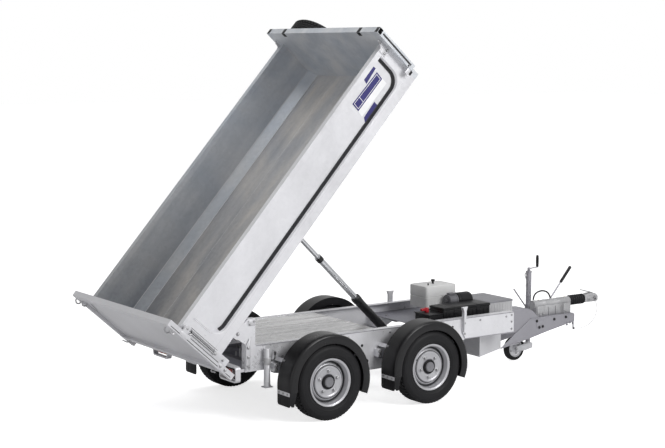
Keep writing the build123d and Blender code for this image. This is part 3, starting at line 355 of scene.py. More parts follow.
class Surface(Network):
    """A node material built round one Principled shader."""

    def __init__(self, name, colour, roughness, metallic=0.0, coat=0.0, specular=0.5):
        self.material = bpy.data.materials.new(name)
        self.material.use_nodes = True
        super().__init__(self.material.node_tree)
        self.shader = self.tree.nodes["Principled BSDF"]
        self.feed(self.shader.inputs["Base Color"], colour)
        self.feed(self.shader.inputs["Roughness"], roughness)
        self.feed(self.shader.inputs["Metallic"], metallic)
        self.feed(self.shader.inputs["Coat Weight"], coat)
        self.feed(self.shader.inputs["Specular IOR Level"], specular)
        self.place = self.node("ShaderNodeTexCoord").outputs["Object"]

    def mapped(self, scale=(1, 1, 1), rotation=(0, 0, 0)):
        """Object coordinates, turned and stretched."""
        turned = self.node("ShaderNodeMapping", {"vector_type": "POINT"},
                           {"Vector": self.place, "Rotation": rotation})
        return self.node("ShaderNodeMapping", {}, {"Vector": turned.outputs[0], "Scale": scale}).outputs[0]

    def axis(self, index, vector=None):
        split = self.node("ShaderNodeSeparateXYZ", {}, {"Vector": vector or self.place})
        return Level(self, split.outputs[index])

    def noise(self, scale, detail=3.0, vector=None, distortion=0.0):
        made = self.node("ShaderNodeTexNoise", {}, {
            "Vector": vector or self.place, "Scale": scale, "Detail": detail, "Distortion": distortion})
        return Level(self, made.outputs["Fac"])

    def cells(self, scale, vector=None):
        """A different value in each crystal-like cell."""
        made = self.node("ShaderNodeTexVoronoi", {}, {"Vector": vector or self.place, "Scale": scale})
        split = self.node("ShaderNodeSeparateColor", {}, {"Color": made.outputs["Color"]})
        return Level(self, split.outputs[0])

    def blend(self, factor, first, second):
        """Colour between two colours."""
        made = self.node("ShaderNodeMix", {"data_type": "RGBA"}, {0: factor, 6: first, 7: second})
        return made.outputs[2]

    def paint(self, colour):
        self.feed(self.shader.inputs["Base Color"], colour)

    def rough(self, level_):
        self.feed(self.shader.inputs["Roughness"], level_)

    def bump(self, height, strength=0.2, distance=0.001):
        made = self.node("ShaderNodeBump", {}, {"Strength": strength, "Distance": distance, "Height": height})
        self.feed(self.shader.inputs["Normal"], made.outputs["Normal"])


def tinted(tone, factor):
    return tuple(min(1.0, c * factor) for c in tone)


def zinc(name, tone, roughness=0.36, metallic=0.35, spangle=46.0, streaks=0.0, turn=(0, 0, 0)):
    """Dipped zinc: crystal cells, cloudy drift, runs down the sheet and a half-matt gloss."""
    s = Surface(name, tone, roughness, metallic)
    cell = s.cells(spangle)
    cloud = s.noise(2.6, 4.0, distortion=0.6)
    runs = s.noise(5.0, 4.0, s.mapped((1.0, 1.0, 0.22), turn), 0.4)
    fine = s.noise(190.0, 2.0)
    shade = (cell - 0.5) * 0.10 + (cloud - 0.5) * 0.50 + (runs - 0.5) * (0.45 + streaks) + 0.5
    s.paint(s.blend(shade.clamp(), tinted(tone, 0.80), tinted(tone, 1.14)))
    s.rough(((cell - 0.5) * 0.10 + (cloud - 0.5) * 0.24 + (fine - 0.5) * 0.08 + roughness).clamp())
    s.bump(fine * 0.25 + cell * 0.35 + runs * 2.0, 0.10 + streaks * 0.2, 0.0010)
    return s.material


def load_worn_zinc_with_painted_shade(name, cool, warm, rear, front):
    """Zinc worn by loads: warm and cool patches and long scuffs, with painted shade that darkens it towards
    the tailgate.
    """
    s = Surface(name, cool, 0.42, 0.30)
    patch = s.noise(1.7, 4.0, s.mapped((1.0, 1.3, 0.7), (0, TIP, 0)), 0.8)
    scuff = s.noise(7.0, 5.0, s.mapped((0.16, 1.0, 1.0), (0, TIP, 0)), 0.3)
    fleck = s.cells(40.0)
    # painted shade: how far each point lies along the bed from the tailgate
    rear_end = HINGE.dot(BED_U) / 1000 - 0.3
    reach = (s.axis(0) * (BED_U.x / BED_LENGTH) + s.axis(2) * (BED_U.z / BED_LENGTH)
             - rear_end / BED_LENGTH)
    worn = ((patch - 0.5) * 2.2 + (scuff - 0.5) * 0.9 + 0.5).clamp()
    ground = s.blend(worn, cool, warm)
    # painted shade along the bed, mixed with the wear patches, scuffs and flecks
    tone = (reach * 0.75 + (patch - 0.5) * 0.5 + (scuff - 0.5) * 0.8 + (fleck - 0.5) * 0.12 + 0.12).clamp()
    shade_and_wear_grey = s.blend(tone, (rear, rear, rear), (front, front, front))
    made = s.node("ShaderNodeMix", {"data_type": "RGBA", "blend_type": "MULTIPLY"},
                  {0: 1.0, 6: ground, 7: shade_and_wear_grey})
    s.paint(made.outputs[2])
    s.rough(((patch - 0.5) * 0.3 + (scuff - 0.5) * 0.2 + 0.42).clamp())
    s.bump(scuff + fleck * 0.3, 0.12, 0.001)
    return s.material


def rolled_zinc_with_painted_reflections(name, tone):
    """Sheet with the long soft waves that rolling leaves; the bands of light and dark they reflect are
    painted into its colour as painted reflections.
    """
    s = Surface(name, tone, 0.26, 0.45)
    wave = s.noise(1.9, 3.0, s.mapped((0.35, 3.2, 1.0)), 1.4)
    fleck = s.cells(60.0)
    ripple = s.noise(34.0, 3.0, s.mapped((0.6, 1.8, 1.0)))
    # painted reflections: the waves and ripples lighten and darken the colour in long bands
    shade = (wave - 0.5) * 1.9 + (ripple - 0.5) * 0.8 + (fleck - 0.5) * 0.12 + 0.52
    s.paint(s.blend(shade.clamp(), tinted(tone, 0.40), tinted(tone, 1.30)))
    s.rough(((wave - 0.5) * 0.5 + 0.28).clamp())
    s.bump(wave * 2.0 + ripple * 0.5, 0.25, 0.002)
    return s.material


def rubber(name, tone=(0.014, 0.014, 0.016), roughness=0.56):
    """Moulded black rubber with a dusty drift."""
    s = Surface(name, tone, roughness, specular=0.22)
    dust = s.noise(11.0, 5.0)
    fine = s.noise(420.0, 2.0)
    s.paint(s.blend(dust.clamp(), tinted(tone, 0.6), tinted(tone, 1.8)))
    s.rough(dust * 0.22 + (roughness - 0.10))
    s.bump(fine, 0.12, 0.0004)
    return s.material


def moulded(name, tone, roughness=0.42, coat=0.0, scuffs=0.5, specular=0.25):
    """Moulded plastic with a fine grain, and scuffs that catch the light."""
    s = Surface(name, tone, roughness, coat=coat, specular=specular)
    grain = s.noise(620.0, 1.0)
    drift = s.noise(5.0, 3.0)
    scuff = s.noise(24.0, 5.0, s.mapped((1.0, 1.0, 3.0))).power(4.0)
    s.paint(s.blend((drift * 0.8 + scuff * scuffs).clamp(), tinted(tone, 0.84), tinted(tone, 1.25)))
    s.rough((drift * 0.14 + scuff * 0.2 + (roughness - 0.08)).clamp())
    s.bump(grain + drift * 0.5, 0.09, 0.0003)
    return s.material


def sprayed(name, tone, roughness=0.35, metallic=0.0, coat=0.2):
    """Sprayed paint with slight orange peel and a little dust."""
    s = Surface(name, tone, roughness, metallic, coat)
    peel = s.noise(240.0, 2.0)
    drift = s.noise(4.0, 4.0)
    dust = s.noise(36.0, 4.0).power(3.0)
    s.paint(s.blend((drift * 0.7 + dust * 0.6).clamp(), tinted(tone, 0.88), tinted(tone, 1.16)))
    s.rough((drift * 0.14 + dust * 0.2 + (roughness - 0.08)).clamp())
    s.bump(peel, 0.06, 0.0003)
    return s.material


def cast(name, tone, roughness=0.5):
    """Cast steel under dull zinc: a coarse skin with darker hollows."""
    s = Surface(name, tone, roughness, 0.4)
    pit = s.noise(130.0, 5.0)
    drift = s.noise(8.0, 4.0)
    s.paint(s.blend(((pit - 0.5) * 0.8 + drift).clamp(), tinted(tone, 0.72), tinted(tone, 1.22)))
    s.rough((pit * 0.2 + drift * 0.1 + (roughness - 0.14)).clamp())
    s.bump(pit, 0.25, 0.0007)
    return s.material


def plated(name, tone=(0.62, 0.63, 0.65), roughness=0.16):
    """Bright plating with fine drawn lines."""
    s = Surface(name, tone, roughness, 0.95)
    line = s.noise(90.0, 3.0, s.mapped((1.0, 1.0, 9.0), (0, 0.6, 0)))
    s.paint(s.blend(line.clamp(), tinted(tone, 0.88), tinted(tone, 1.10)))
    s.rough(line * 0.12 + (roughness - 0.05))
    return s.material


def printed(name, tone):
    """Film stuck on the sheet: flat ink with a faint weave and lifted, duller patches."""
    s = Surface(name, tone, 0.30, coat=0.3)
    film = s.noise(300.0, 2.0)
    drift = s.noise(12.0, 3.0)
    s.paint(s.blend(drift.clamp(), tinted(tone, 0.90), tinted(tone, 1.12)))
    s.rough(drift * 0.16 + 0.22)
    s.bump(film, 0.05, 0.0002)
    return s.material


def lens(name, tone):
    """Tinted lamp plastic with moulded prisms behind its face."""
    s = Surface(name, tone, 0.14, coat=0.6)
    across = (s.axis(1) * 700.0).sine()
    up = (s.axis(2) * 700.0).sine()
    prism = (across * up * 0.5 + 0.5).clamp()
    s.paint(s.blend(prism, tinted(tone, 0.55), tinted(tone, 1.35)))
    s.rough(prism * 0.08 + 0.10)
    s.bump(prism, 0.25, 0.0008)
    return s.material


MATERIALS = {}


def make_materials(settings):
    shell = tuple(settings.zinc_colour)
    MATERIALS.update({
        "zinc": zinc("Zinc", shell, settings.zinc_roughness, spangle=settings.spangle_scale),
        # side plates: a lighter copy of the zinc with deeper streaks, as painted sheen and painted reflection
        # streaks
        "zinc_side_painted_sheen": zinc("Zinc_side", tinted(shell, 1.03), 0.34, 0.40, settings.spangle_scale, 0.35),
        # bed floor and inner faces: painted shade darker towards the tailgate; the inner faces are also a
        # darker, bluer copy of the zinc as painted shade
        "zinc_bed": load_worn_zinc_with_painted_shade("Zinc_bed_floor", (0.60, 0.62, 0.66), (0.74, 0.70, 0.65), 0.42, 0.98),
        "zinc_inner_painted_shade": load_worn_zinc_with_painted_shade("Zinc_inner", (0.52, 0.57, 0.64), (0.66, 0.66, 0.66), 0.50, 1.00),
        "zinc_fitting": zinc("Zinc_fitting", tinted(shell, 0.88), 0.40, 0.4, 90.0),
        "zinc_dull": zinc("Zinc_dull", (0.33, 0.325, 0.355), 0.46, 0.35, 60.0),
        "zinc_dark": zinc("Zinc_shaded", (0.20, 0.20, 0.23), 0.50, 0.30, 60.0),
        "deck": rolled_zinc_with_painted_reflections("Rolled_zinc", (0.84, 0.84, 0.86)),
        "tyre": rubber("Tyre_rubber", settings.rubber_colour),
        "rubber": rubber("Black_rubber", (0.007, 0.007, 0.008), 0.44),
        "wheel": sprayed("Wheel_silver", settings.wheel_colour, 0.34, 0.45, 0.2),
        "guard": moulded("Guard_black", (0.006, 0.006, 0.007), 0.30, 0.0, 0.3, 0.35),
        "black": moulded("Black_plastic", (0.008, 0.008, 0.009), 0.40),
        "tank": moulded("Tank_white", (0.62, 0.62, 0.62), 0.36, 0.0, 0.3, 0.5),
        "gloss_black": sprayed("Black_paint", (0.007, 0.007, 0.008), 0.3, 0.0, 0.0),
        "red": moulded("Red_cap", (0.42, 0.02, 0.03), 0.32, 0.2),
        "lens_red": lens("Lamp_red", (0.34, 0.012, 0.012)),
        "lens_dark": lens("Lamp_smoke", (0.05, 0.02, 0.02)),
        "lens_amber": lens("Lamp_amber", (0.62, 0.22, 0.01)),
        "chrome": plated("Chrome"),
        "bolt": plated("Bolt_zinc", (0.42, 0.42, 0.43), 0.34),
        # black bolts and handles, and also the painted shade in holes, slots, gaps and a channel
        "black_bolt_and_painted_shade": sprayed("Bolt_black", (0.016, 0.016, 0.018), 0.4),
        "yellow_zinc": plated("Yellow_passivate", (0.50, 0.40, 0.20), 0.30),
        "aluminium": zinc("Locker_sheet", (0.52, 0.52, 0.53), 0.42, 0.35, 120.0, 0.3),
        "lid": zinc("Locker_lid", (0.24, 0.24, 0.26), 0.42, 0.35, 120.0),
        "motor": cast("Motor_grey", (0.13, 0.13, 0.14)),
        "casting": cast("Cast_grey", (0.42, 0.42, 0.43)),
        "cap_grey": moulded("Cap_grey", (0.20, 0.20, 0.215), 0.42),
        "cable": moulded("Cable_sheath", (0.16, 0.15, 0.17), 0.4),
        # near-black painted shade in the wheels' troughs and on the bed's recess walls
        "painted_shade": sprayed("Shadow_seal", (0.020, 0.020, 0.023), 0.5, 0.0, 0.0),
        "navy": printed("Navy_film", settings.stripe_colour),
        "white_film": printed("White_film", (0.84, 0.84, 0.85)),
    })


SLOT_MATERIALS = {
    "galvanized": "zinc", "tyre": "tyre", "wheel_silver": "wheel", "black_plastic": "black",
    "rubber_black": "rubber", "tank_white": "tank", "lamp_red": "lens_red", "chrome": "chrome",
    "black_paint": "gloss_black", "locker_aluminium": "aluminium", "motor_grey": "motor",
    "cable_sheath": "cable",
}
NODE_MATERIALS = {
    "bed_floor": "zinc_bed", "tailgate": "zinc_fitting", "headboard": "zinc_inner_painted_shade",
    "bed_side_left": "zinc_inner_painted_shade", "deck": "deck",
    "side_plate_right": "zinc_side_painted_sheen", "side_plate_left": "zinc_side_painted_sheen", "bed_side_right": "zinc",
    "drawbar": "zinc_dull", "bow": "zinc_dark", "overrun_housing": "casting", "nose_tray": "zinc_fitting",
    "jockey_tube": "zinc_dull", "jockey_crank": "zinc_dull", "jockey_leg": "zinc_dull",
    "jockey_fork": "zinc_fitting", "cross_tubes": "zinc_dark", "axles": "zinc_dark", "springs": "zinc_dark",
    "coupling_handle": "casting", "coupling_head": "casting", "tray": "zinc_dark", "bed_bearers": "zinc_dark",
    "bed_rails": "zinc_dull", "ram_bracket": "zinc_dark", "lamp_bar": "zinc_fitting",
    "ram_barrel": "gloss_black",
    "handbrake": "zinc_dull",
}


class RepeatTree(Network):
    """A Geometry Nodes tree with named inputs that ends in one real mesh with its material."""

    def __init__(self, name, inputs):
        super().__init__(bpy.data.node_groups.new(name, "GeometryNodeTree"))
        self.tree.interface.new_socket(name="Geometry", in_out="INPUT", socket_type="NodeSocketGeometry")
        for label, kind, default in inputs:
            made = self.tree.interface.new_socket(name=label, in_out="INPUT", socket_type=kind)
            if default is not None:
                made.default_value = default
        self.tree.interface.new_socket(name="Finish", in_out="INPUT", socket_type="NodeSocketMaterial")
        self.tree.interface.new_socket(name="Geometry", in_out="OUTPUT", socket_type="NodeSocketGeometry")
        self.given = self.node("NodeGroupInput").outputs

    def value(self, label):
        return Level(self, self.given[label])

    def join(self, *parts):
        made = self.node("GeometryNodeJoinGeometry")
        for part in parts:
            self.tree.links.new(part, made.inputs[0])
        return made.outputs[0]

    def moved(self, geometry, translation=(0, 0, 0), rotation=(0, 0, 0), scale=(1, 1, 1)):
        return self.node("GeometryNodeTransform", {}, {
            "Geometry": geometry, "Translation": translation, "Rotation": rotation,
            "Scale": scale}).outputs[0]

    def vector(self, x=0.0, y=0.0, z=0.0):
        return self.node("ShaderNodeCombineXYZ", {}, {0: x, 1: y, 2: z}).outputs[0]

    def spread(self, points, instance, rotation=(0, 0, 0)):
        return self.node("GeometryNodeInstanceOnPoints", {}, {
            "Points": points, "Instance": instance, "Rotation": rotation}).outputs[0]

    def end(self, geometry):
        real = self.node("GeometryNodeRealizeInstances", {}, {"Geometry": geometry}).outputs[0]
        done = self.node("GeometryNodeSetMaterial", {}, {"Geometry": real, "Material": self.given["Finish"]})
        out = self.node("NodeGroupOutput")
        self.tree.links.new(done.outputs[0], out.inputs[0])
        return self

    def grow(self, finish, values=None, points=(), aims=()):
        """Mesh that the tree makes from its inputs, and from places with directions where it takes them."""
        seed = bpy.data.meshes.new(self.tree.name)
        seed.from_pydata([tuple(p) for p in points], [], [])
        if aims:
            aim = seed.attributes.new("aim", "FLOAT_VECTOR", "POINT")
            aim.data.foreach_set("vector", [c for a in aims for c in Vector(a).normalized()])
        holder = bpy.data.objects.new(self.tree.name, seed)
        bpy.context.scene.collection.objects.link(holder)
        modifier = holder.modifiers.new("Repeat", "NODES")
        modifier.node_group = self.tree
        wanted = dict(values or {}, Finish=MATERIALS[finish])
        for item in self.tree.interface.items_tree:
            if item.item_type == "SOCKET" and item.in_out == "INPUT" and item.name in wanted:
                modifier[item.identifier] = wanted[item.name]
        graph = bpy.context.evaluated_depsgraph_get()
        graph.update()
        mesh = bpy.data.meshes.new_from_object(holder.evaluated_get(graph))
        holder.modifiers.remove(modifier)
        bpy.data.objects.remove(holder)
        bpy.data.meshes.remove(seed)
        return mesh


def fastener_tree():
    """Hexagon head on a washer at each given place, along its direction."""
    t = RepeatTree("Fasteners", (
        ("Head radius", "NodeSocketFloat", 9.0), ("Head height", "NodeSocketFloat", 8.0),
        ("Washer radius", "NodeSocketFloat", 13.0), ("Stud reach", "NodeSocketFloat", 4.0)))
    head, tall = t.value("Head radius"), t.value("Head height")
    washer = t.node("GeometryNodeMeshCylinder", {}, {
        "Vertices": 20, "Radius": t.given["Washer radius"], "Depth": 3.0}).outputs[0]
    hexagon = t.node("GeometryNodeMeshCylinder", {},
                     {"Vertices": 6, "Radius": head, "Depth": tall}).outputs[0]
    crown = t.node("GeometryNodeMeshCone", {}, {
        "Vertices": 6, "Radius Top": head * 0.72, "Radius Bottom": head, "Depth": head * 0.14}).outputs[0]
    stud = t.node("GeometryNodeMeshCylinder", {}, {
        "Vertices": 10, "Radius": head * 0.5, "Depth": t.given["Stud reach"]}).outputs[0]
    whole = t.join(
        t.moved(washer, (0, 0, 1.2)),
        t.moved(hexagon, t.vector(z=tall * 0.5 + 2.7)),
        t.moved(crown, t.vector(z=tall + 2.7)),
        t.moved(stud, t.vector(z=tall + 2.7 + head * 0.14)))
    aim = t.node("GeometryNodeInputNamedAttribute", {"data_type": "FLOAT_VECTOR"}, {"Name": "aim"}).outputs[0]
    turn = t.node("FunctionNodeAlignRotationToVector", {"axis": "Z"}, {"Vector": aim}).outputs[0]
    return t.end(t.spread(t.given["Geometry"], whole, turn))


def tread_tree():
    """Rows of tread blocks round a tyre, every other row half a block further round."""
    t = RepeatTree("Tread", (
        ("Blocks", "NodeSocketInt", 60), ("Rows", "NodeSocketInt", 5), ("Row pitch", "NodeSocketFloat", 23.0),
        ("Radius", "NodeSocketFloat", 283.0), ("Block size", "NodeSocketVector", (9, 22, 18)),
        ("Skew", "NodeSocketFloat", 0.0)))
    block = t.node("GeometryNodeMeshCube", {}, {"Size": t.given["Block size"]}).outputs[0]
    block = t.moved(block, (0, 0, 0), t.vector(x=t.value("Skew")))
    ring = t.node("GeometryNodeMeshCircle", {},
                  {"Vertices": t.given["Blocks"], "Radius": t.given["Radius"]}).outputs[0]
    place = t.node("GeometryNodeInputPosition").outputs[0]
    turn = t.node("FunctionNodeAlignRotationToVector", {"axis": "X", "pivot_axis": "Z"},
                  {"Vector": place}).outputs[0]
    row = t.spread(ring, block, turn)
    start = (t.value("Rows") - 1.0) * t.value("Row pitch") * -0.5
    line = t.node("GeometryNodeMeshLine", {}, {
        "Count": t.given["Rows"], "Start Location": t.vector(z=start),
        "Offset": t.vector(z=t.given["Row pitch"])}).outputs[0]
    index = Level(t, t.node("GeometryNodeInputIndex").outputs[0])
    shift = (index % 2.0) * (pi / t.value("Blocks"))
    return t.end(t.spread(line, row, t.vector(z=shift)))


def lozenge_tree():
    """Raised lozenges over a plate, each turned across its neighbours."""
    t = RepeatTree("Lozenges", (
        ("Length", "NodeSocketFloat", 1000.0), ("Width", "NodeSocketFloat", 1000.0),
        ("Along", "NodeSocketInt", 35),
        ("Across", "NodeSocketInt", 29), ("Lozenge", "NodeSocketVector", (13, 3.5, 1.4))))
    grid = t.node("GeometryNodeMeshGrid", {}, {
        "Size X": t.given["Length"], "Size Y": t.given["Width"], "Vertices X": t.given["Along"],
        "Vertices Y": t.given["Across"]}).outputs[0]
    drop = t.node("GeometryNodeMeshUVSphere", {}, {"Segments": 6, "Rings": 4, "Radius": 1.0}).outputs[0]
    drop = t.moved(drop, scale=t.given["Lozenge"])
    index = Level(t, t.node("GeometryNodeInputIndex").outputs[0])
    return t.end(t.spread(grid, drop, t.vector(z=(index % 2.0) * (pi / 2) + pi / 4)))


def rib_tree():
    """Like ribs in a row."""
    t = RepeatTree("Ribs", (
        ("Ribs", "NodeSocketInt", 8), ("First", "NodeSocketVector", (0, 0, 0)),
        ("Step", "NodeSocketVector", (20, 0, 0)), ("Rib", "NodeSocketVector", (6, 3, 60))))
    line = t.node("GeometryNodeMeshLine", {}, {
        "Count": t.given["Ribs"], "Start Location": t.given["First"], "Offset": t.given["Step"]}).outputs[0]
    core = t.node("GeometryNodeMeshCube", {}, {"Size": t.given["Rib"]}).outputs[0]
    return t.end(t.spread(line, core))


TREES = {}


def fasteners(name, body, places, finish="bolt", head=9, height=8, washer=13, stud=4):
    """Piece of hexagon heads on one body, at places given with their directions."""
    mesh = TREES["fasteners"].grow(
        finish, {"Head radius": head, "Head height": height, "Washer radius": washer, "Stud reach": stud},
        [p for p, _ in places], [d for _, d in places])
    return hand_over(name, mesh, body, finish)


def placed(mesh, matrix):
    mesh.transform(matrix)
    return mesh


class TrailerSettings(bpy.types.PropertyGroup):
    zinc_colour: bpy.props.FloatVectorProperty(
        name="Zinc colour", description="Colour of the dipped zinc", default=(0.72, 0.72, 0.745),
        min=0.0, max=1.0, size=3, subtype="COLOR")
    zinc_roughness: bpy.props.FloatProperty(
        name="Zinc roughness", description="How matt the zinc is", default=0.38, min=0.0, max=1.0,
        subtype="FACTOR")
    spangle_scale: bpy.props.FloatProperty(
        name="Spangle scale", description="Zinc crystals per metre", default=46.0, min=5.0, max=200.0)
    rubber_colour: bpy.props.FloatVectorProperty(
        name="Tyre colour", description="Colour of the tyres' rubber", default=(0.008, 0.008, 0.009),
        min=0.0, max=1.0, size=3, subtype="COLOR")
    wheel_colour: bpy.props.FloatVectorProperty(
        name="Wheel colour", description="Colour of the wheels' paint", default=(0.46, 0.46, 0.48),
        min=0.0, max=1.0, size=3, subtype="COLOR")
    stripe_colour: bpy.props.FloatVectorProperty(
        name="Stripe colour", description="Colour of the stripes on the bed's sides",
        default=(0.030, 0.026, 0.15),
        min=0.0, max=1.0, size=3, subtype="COLOR")
    tread_blocks: bpy.props.IntProperty(
        name="Tread blocks", description="Blocks in each row round a tyre", default=60, min=20, max=120)
    bolt_radius: bpy.props.FloatProperty(
        name="Bolt head", description="Corner radius of the larger bolt heads", default=0.009, min=0.002,
        max=0.03,
        unit="LENGTH", subtype="DISTANCE")
    floor_level: bpy.props.FloatProperty(
        name="Floor level", description="Height of the studio floor", default=0.0, unit="LENGTH",
        subtype="DISTANCE")
    lens: bpy.props.FloatProperty(
        name="Lens", description="Focal length of the studio camera", default=81.4, min=10.0, max=300.0,
        unit="CAMERA")


class TRAILER_OT_camera(bpy.types.Operator):
    """Camera from behind, to the right"""
    bl_idname = "trailer.camera"
    bl_label = "Camera"

    def execute(self, context):
        eye = Vector((-7.25496, -9.76863, 2.74932))
        aim = Vector((-0.36483, 0.20557, 1.33562))
        data = bpy.data.cameras.new("Camera")
        data.lens = context.scene.trailer.lens
        data.sensor_width = 36.0
        data.clip_end = 200.0
        camera = bpy.data.objects.new("Camera", data)
        context.scene.collection.objects.link(camera)
        camera.location = eye
        camera.rotation_mode = "QUATERNION"
        camera.rotation_quaternion = (aim - eye).to_track_quat("-Z", "Y")
        context.scene.camera = camera
        return {"FINISHED"}


CORDS = {
    "breakaway_cable": (0.004, 0.490, "cable", [
        (3099.8, -88, 268), (3138, -84, 260), (3188, -78, 256), (3240, -72, 259), (3290, -66, 268),
        (3338, -60, 286),
        (3380, -55, 316), (3410, -52, 358), (3424, -50, 406), (3418, -48, 450), (3403, -45, 474),
        (3388, -38.2, 487)]),
    "lead_loop": (0.014, 0.276, "rubber", [
        (2700, 10, 544.6), (2704, 10, 578), (2733, 10, 607), (2787, 10, 621), (2846, 10, 612),
        (2888, 10, 584),
        (2902, 10, 546.5)]),
}


class TRAILER_OT_cords(bpy.types.Operator):
    """Breakaway cable at the coupling and the lead looped over the housing"""
    bl_idname = "trailer.cords"
    bl_label = "Cords"

    def execute(self, context):
        for name, (diameter, length, finish, route) in CORDS.items():
            data = bpy.data.curves.new(name + "_line", "CURVE")
            data.dimensions = "3D"
            data.resolution_u = 16
            data.bevel_depth = diameter / 2
            data.bevel_resolution = 5
            data.use_fill_caps = True
            spline = data.splines.new("NURBS")
            spline.points.add(len(route) - 1)
            for point, (x, y, z) in zip(spline.points, route):
                point.co = ((REAR_AXLE + x) / 1000, y / 1000, z / 1000, 1.0)
            spline.order_u = 3
            spline.use_endpoint_u = True
            data.materials.append(MATERIALS[finish])
            cord = bpy.data.objects.new(name + "_line", data)
            context.scene.collection.objects.link(cord)
            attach(cord, "chassis")
            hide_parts(name)
            x, y, z = route[0]
            (REAR_AXLE + x) / 1000
            y / 1000
            z / 1000
        return {"FINISHED"}


class TRAILER_OT_surfaces(bpy.types.Operator):
    """Materials, and their place on every CAD node"""
    bl_idname = "trailer.surfaces"
    bl_label = "Surfaces"

    def execute(self, context):
        make_materials(context.scene.trailer)
        TREES.update({"fasteners": fastener_tree(), "tread": tread_tree(), "lozenges": lozenge_tree(),
                      "ribs": rib_tree()})
        slots = {s["node"]: s["material_slot"] for s in frame["record"]["subparts"]}
        for name, node in NODES.items():
            finish = NODE_MATERIALS.get(name, SLOT_MATERIALS[slots[name]])
            node.data.materials.clear()
            node.data.materials.append(MATERIALS[finish])
        return {"FINISHED"}


def wheel_axes(x, side):
    """Local z outboard along a road wheel's axle."""
    return outboard(x, side * WHEEL_Y, AXLE_Z, side)


SPARE_AXES = axes(HINGE + BED_U * 2467 + BED_W * 485 + BED_V * 344, BED_W, BED_V)


def tyre_profile():
    """Radius and height of a tyre's section: sunk tread, shoulders, crowned walls, rim lines and beads."""
    half = [
        (281.2, 0), (281.2, 54), (283, 57.5), (282.6, 61), (277, 67.2), (274.5, 68),
        (273.5, 70.2), (266, 74.8), (256, 78.2), (254, 79.2), (250, 79.2), (248, 79),
        (240, 79.6), (230, 79.4), (220, 78.2), (213, 76.4), (211.5, 76.8), (208.5, 76.2),
        (207, 74.4), (200, 71.6), (198.5, 72.2), (195, 71.2), (193.5, 69), (188, 65.5),
        (184.2, 62.2), (176, 59.8), (168.2, 57.5),
    ]
    return both_faces(half)


class TRAILER_OT_tyres(bpy.types.Operator):
    """Four road tyres and the spare, with tread"""
    bl_idname = "trailer.tyres"
    bl_label = "Tyres"

    def execute(self, context):
        blocks = context.scene.trailer.tread_blocks
        seats = [("tyre_" + name, "wheel_" + name, wheel_axes(x, side)) for name, x, side in ROAD_WHEELS]
        seats.append(("spare_tyre", "bed", SPARE_AXES))
        for node, body, where in seats:
            form = Form()
            form.turned(where, tyre_profile(), 120, closed=True)
            form.piece(node + "_carcass", body, "tyre", (node,), 40.0)
            for part, rows, pitch, size in (
                    ("centre", 3, 21.5, (7.4, 22.5, 18)), ("shoulder", 2, 90.5, (7.4, 19, 20))):
                mesh = TREES["tread"].grow("tyre", {
                    "Blocks": blocks, "Rows": rows, "Row pitch": pitch, "Radius": 283.8, "Block size": size,
                    "Skew": 0.35 if part == "centre" else 0.0})
                hand_over(f"{node}_tread_{part}", placed(mesh, where), body, "tyre")
        return {"FINISHED"}


RIM_PROFILE = [
    (181.5, 66), (182.5, 64.8), (182.2, 62.6), (178, 61), (170, 59.8), (167.4, 57.5),
    (167.4, -57.5), (170, -59.8), (178, -61), (182.2, -62.6), (182.5, -64.8), (181.5, -66),
    (178.5, -66), (174, -63), (169, -62), (164, -59), (163.6, 7), (160, 10),
    (158, 22), (159, 33), (162, 37), (162.8, 46), (164, 56), (166.5, 60),
    (170, 62.5), (172.5, 62.8), (174.5, 64), (178.5, 66),
]
DISC_PROFILE = [
    (60, 33.5), (62.5, 34.5), (100, 34.5), (104, 36), (109, 39.2), (114, 40),
    (118.5, 38.4), (121.5, 34), (124, 28.5), (128.5, 26.2), (133, 26.2), (137, 24),
    (140, 18), (145, 13.5), (153, 12), (161, 11), (161, 6), (144, 7),
    (135, 12), (130, 20), (118, 25), (112, 33), (104, 29), (60, 28.5),
]


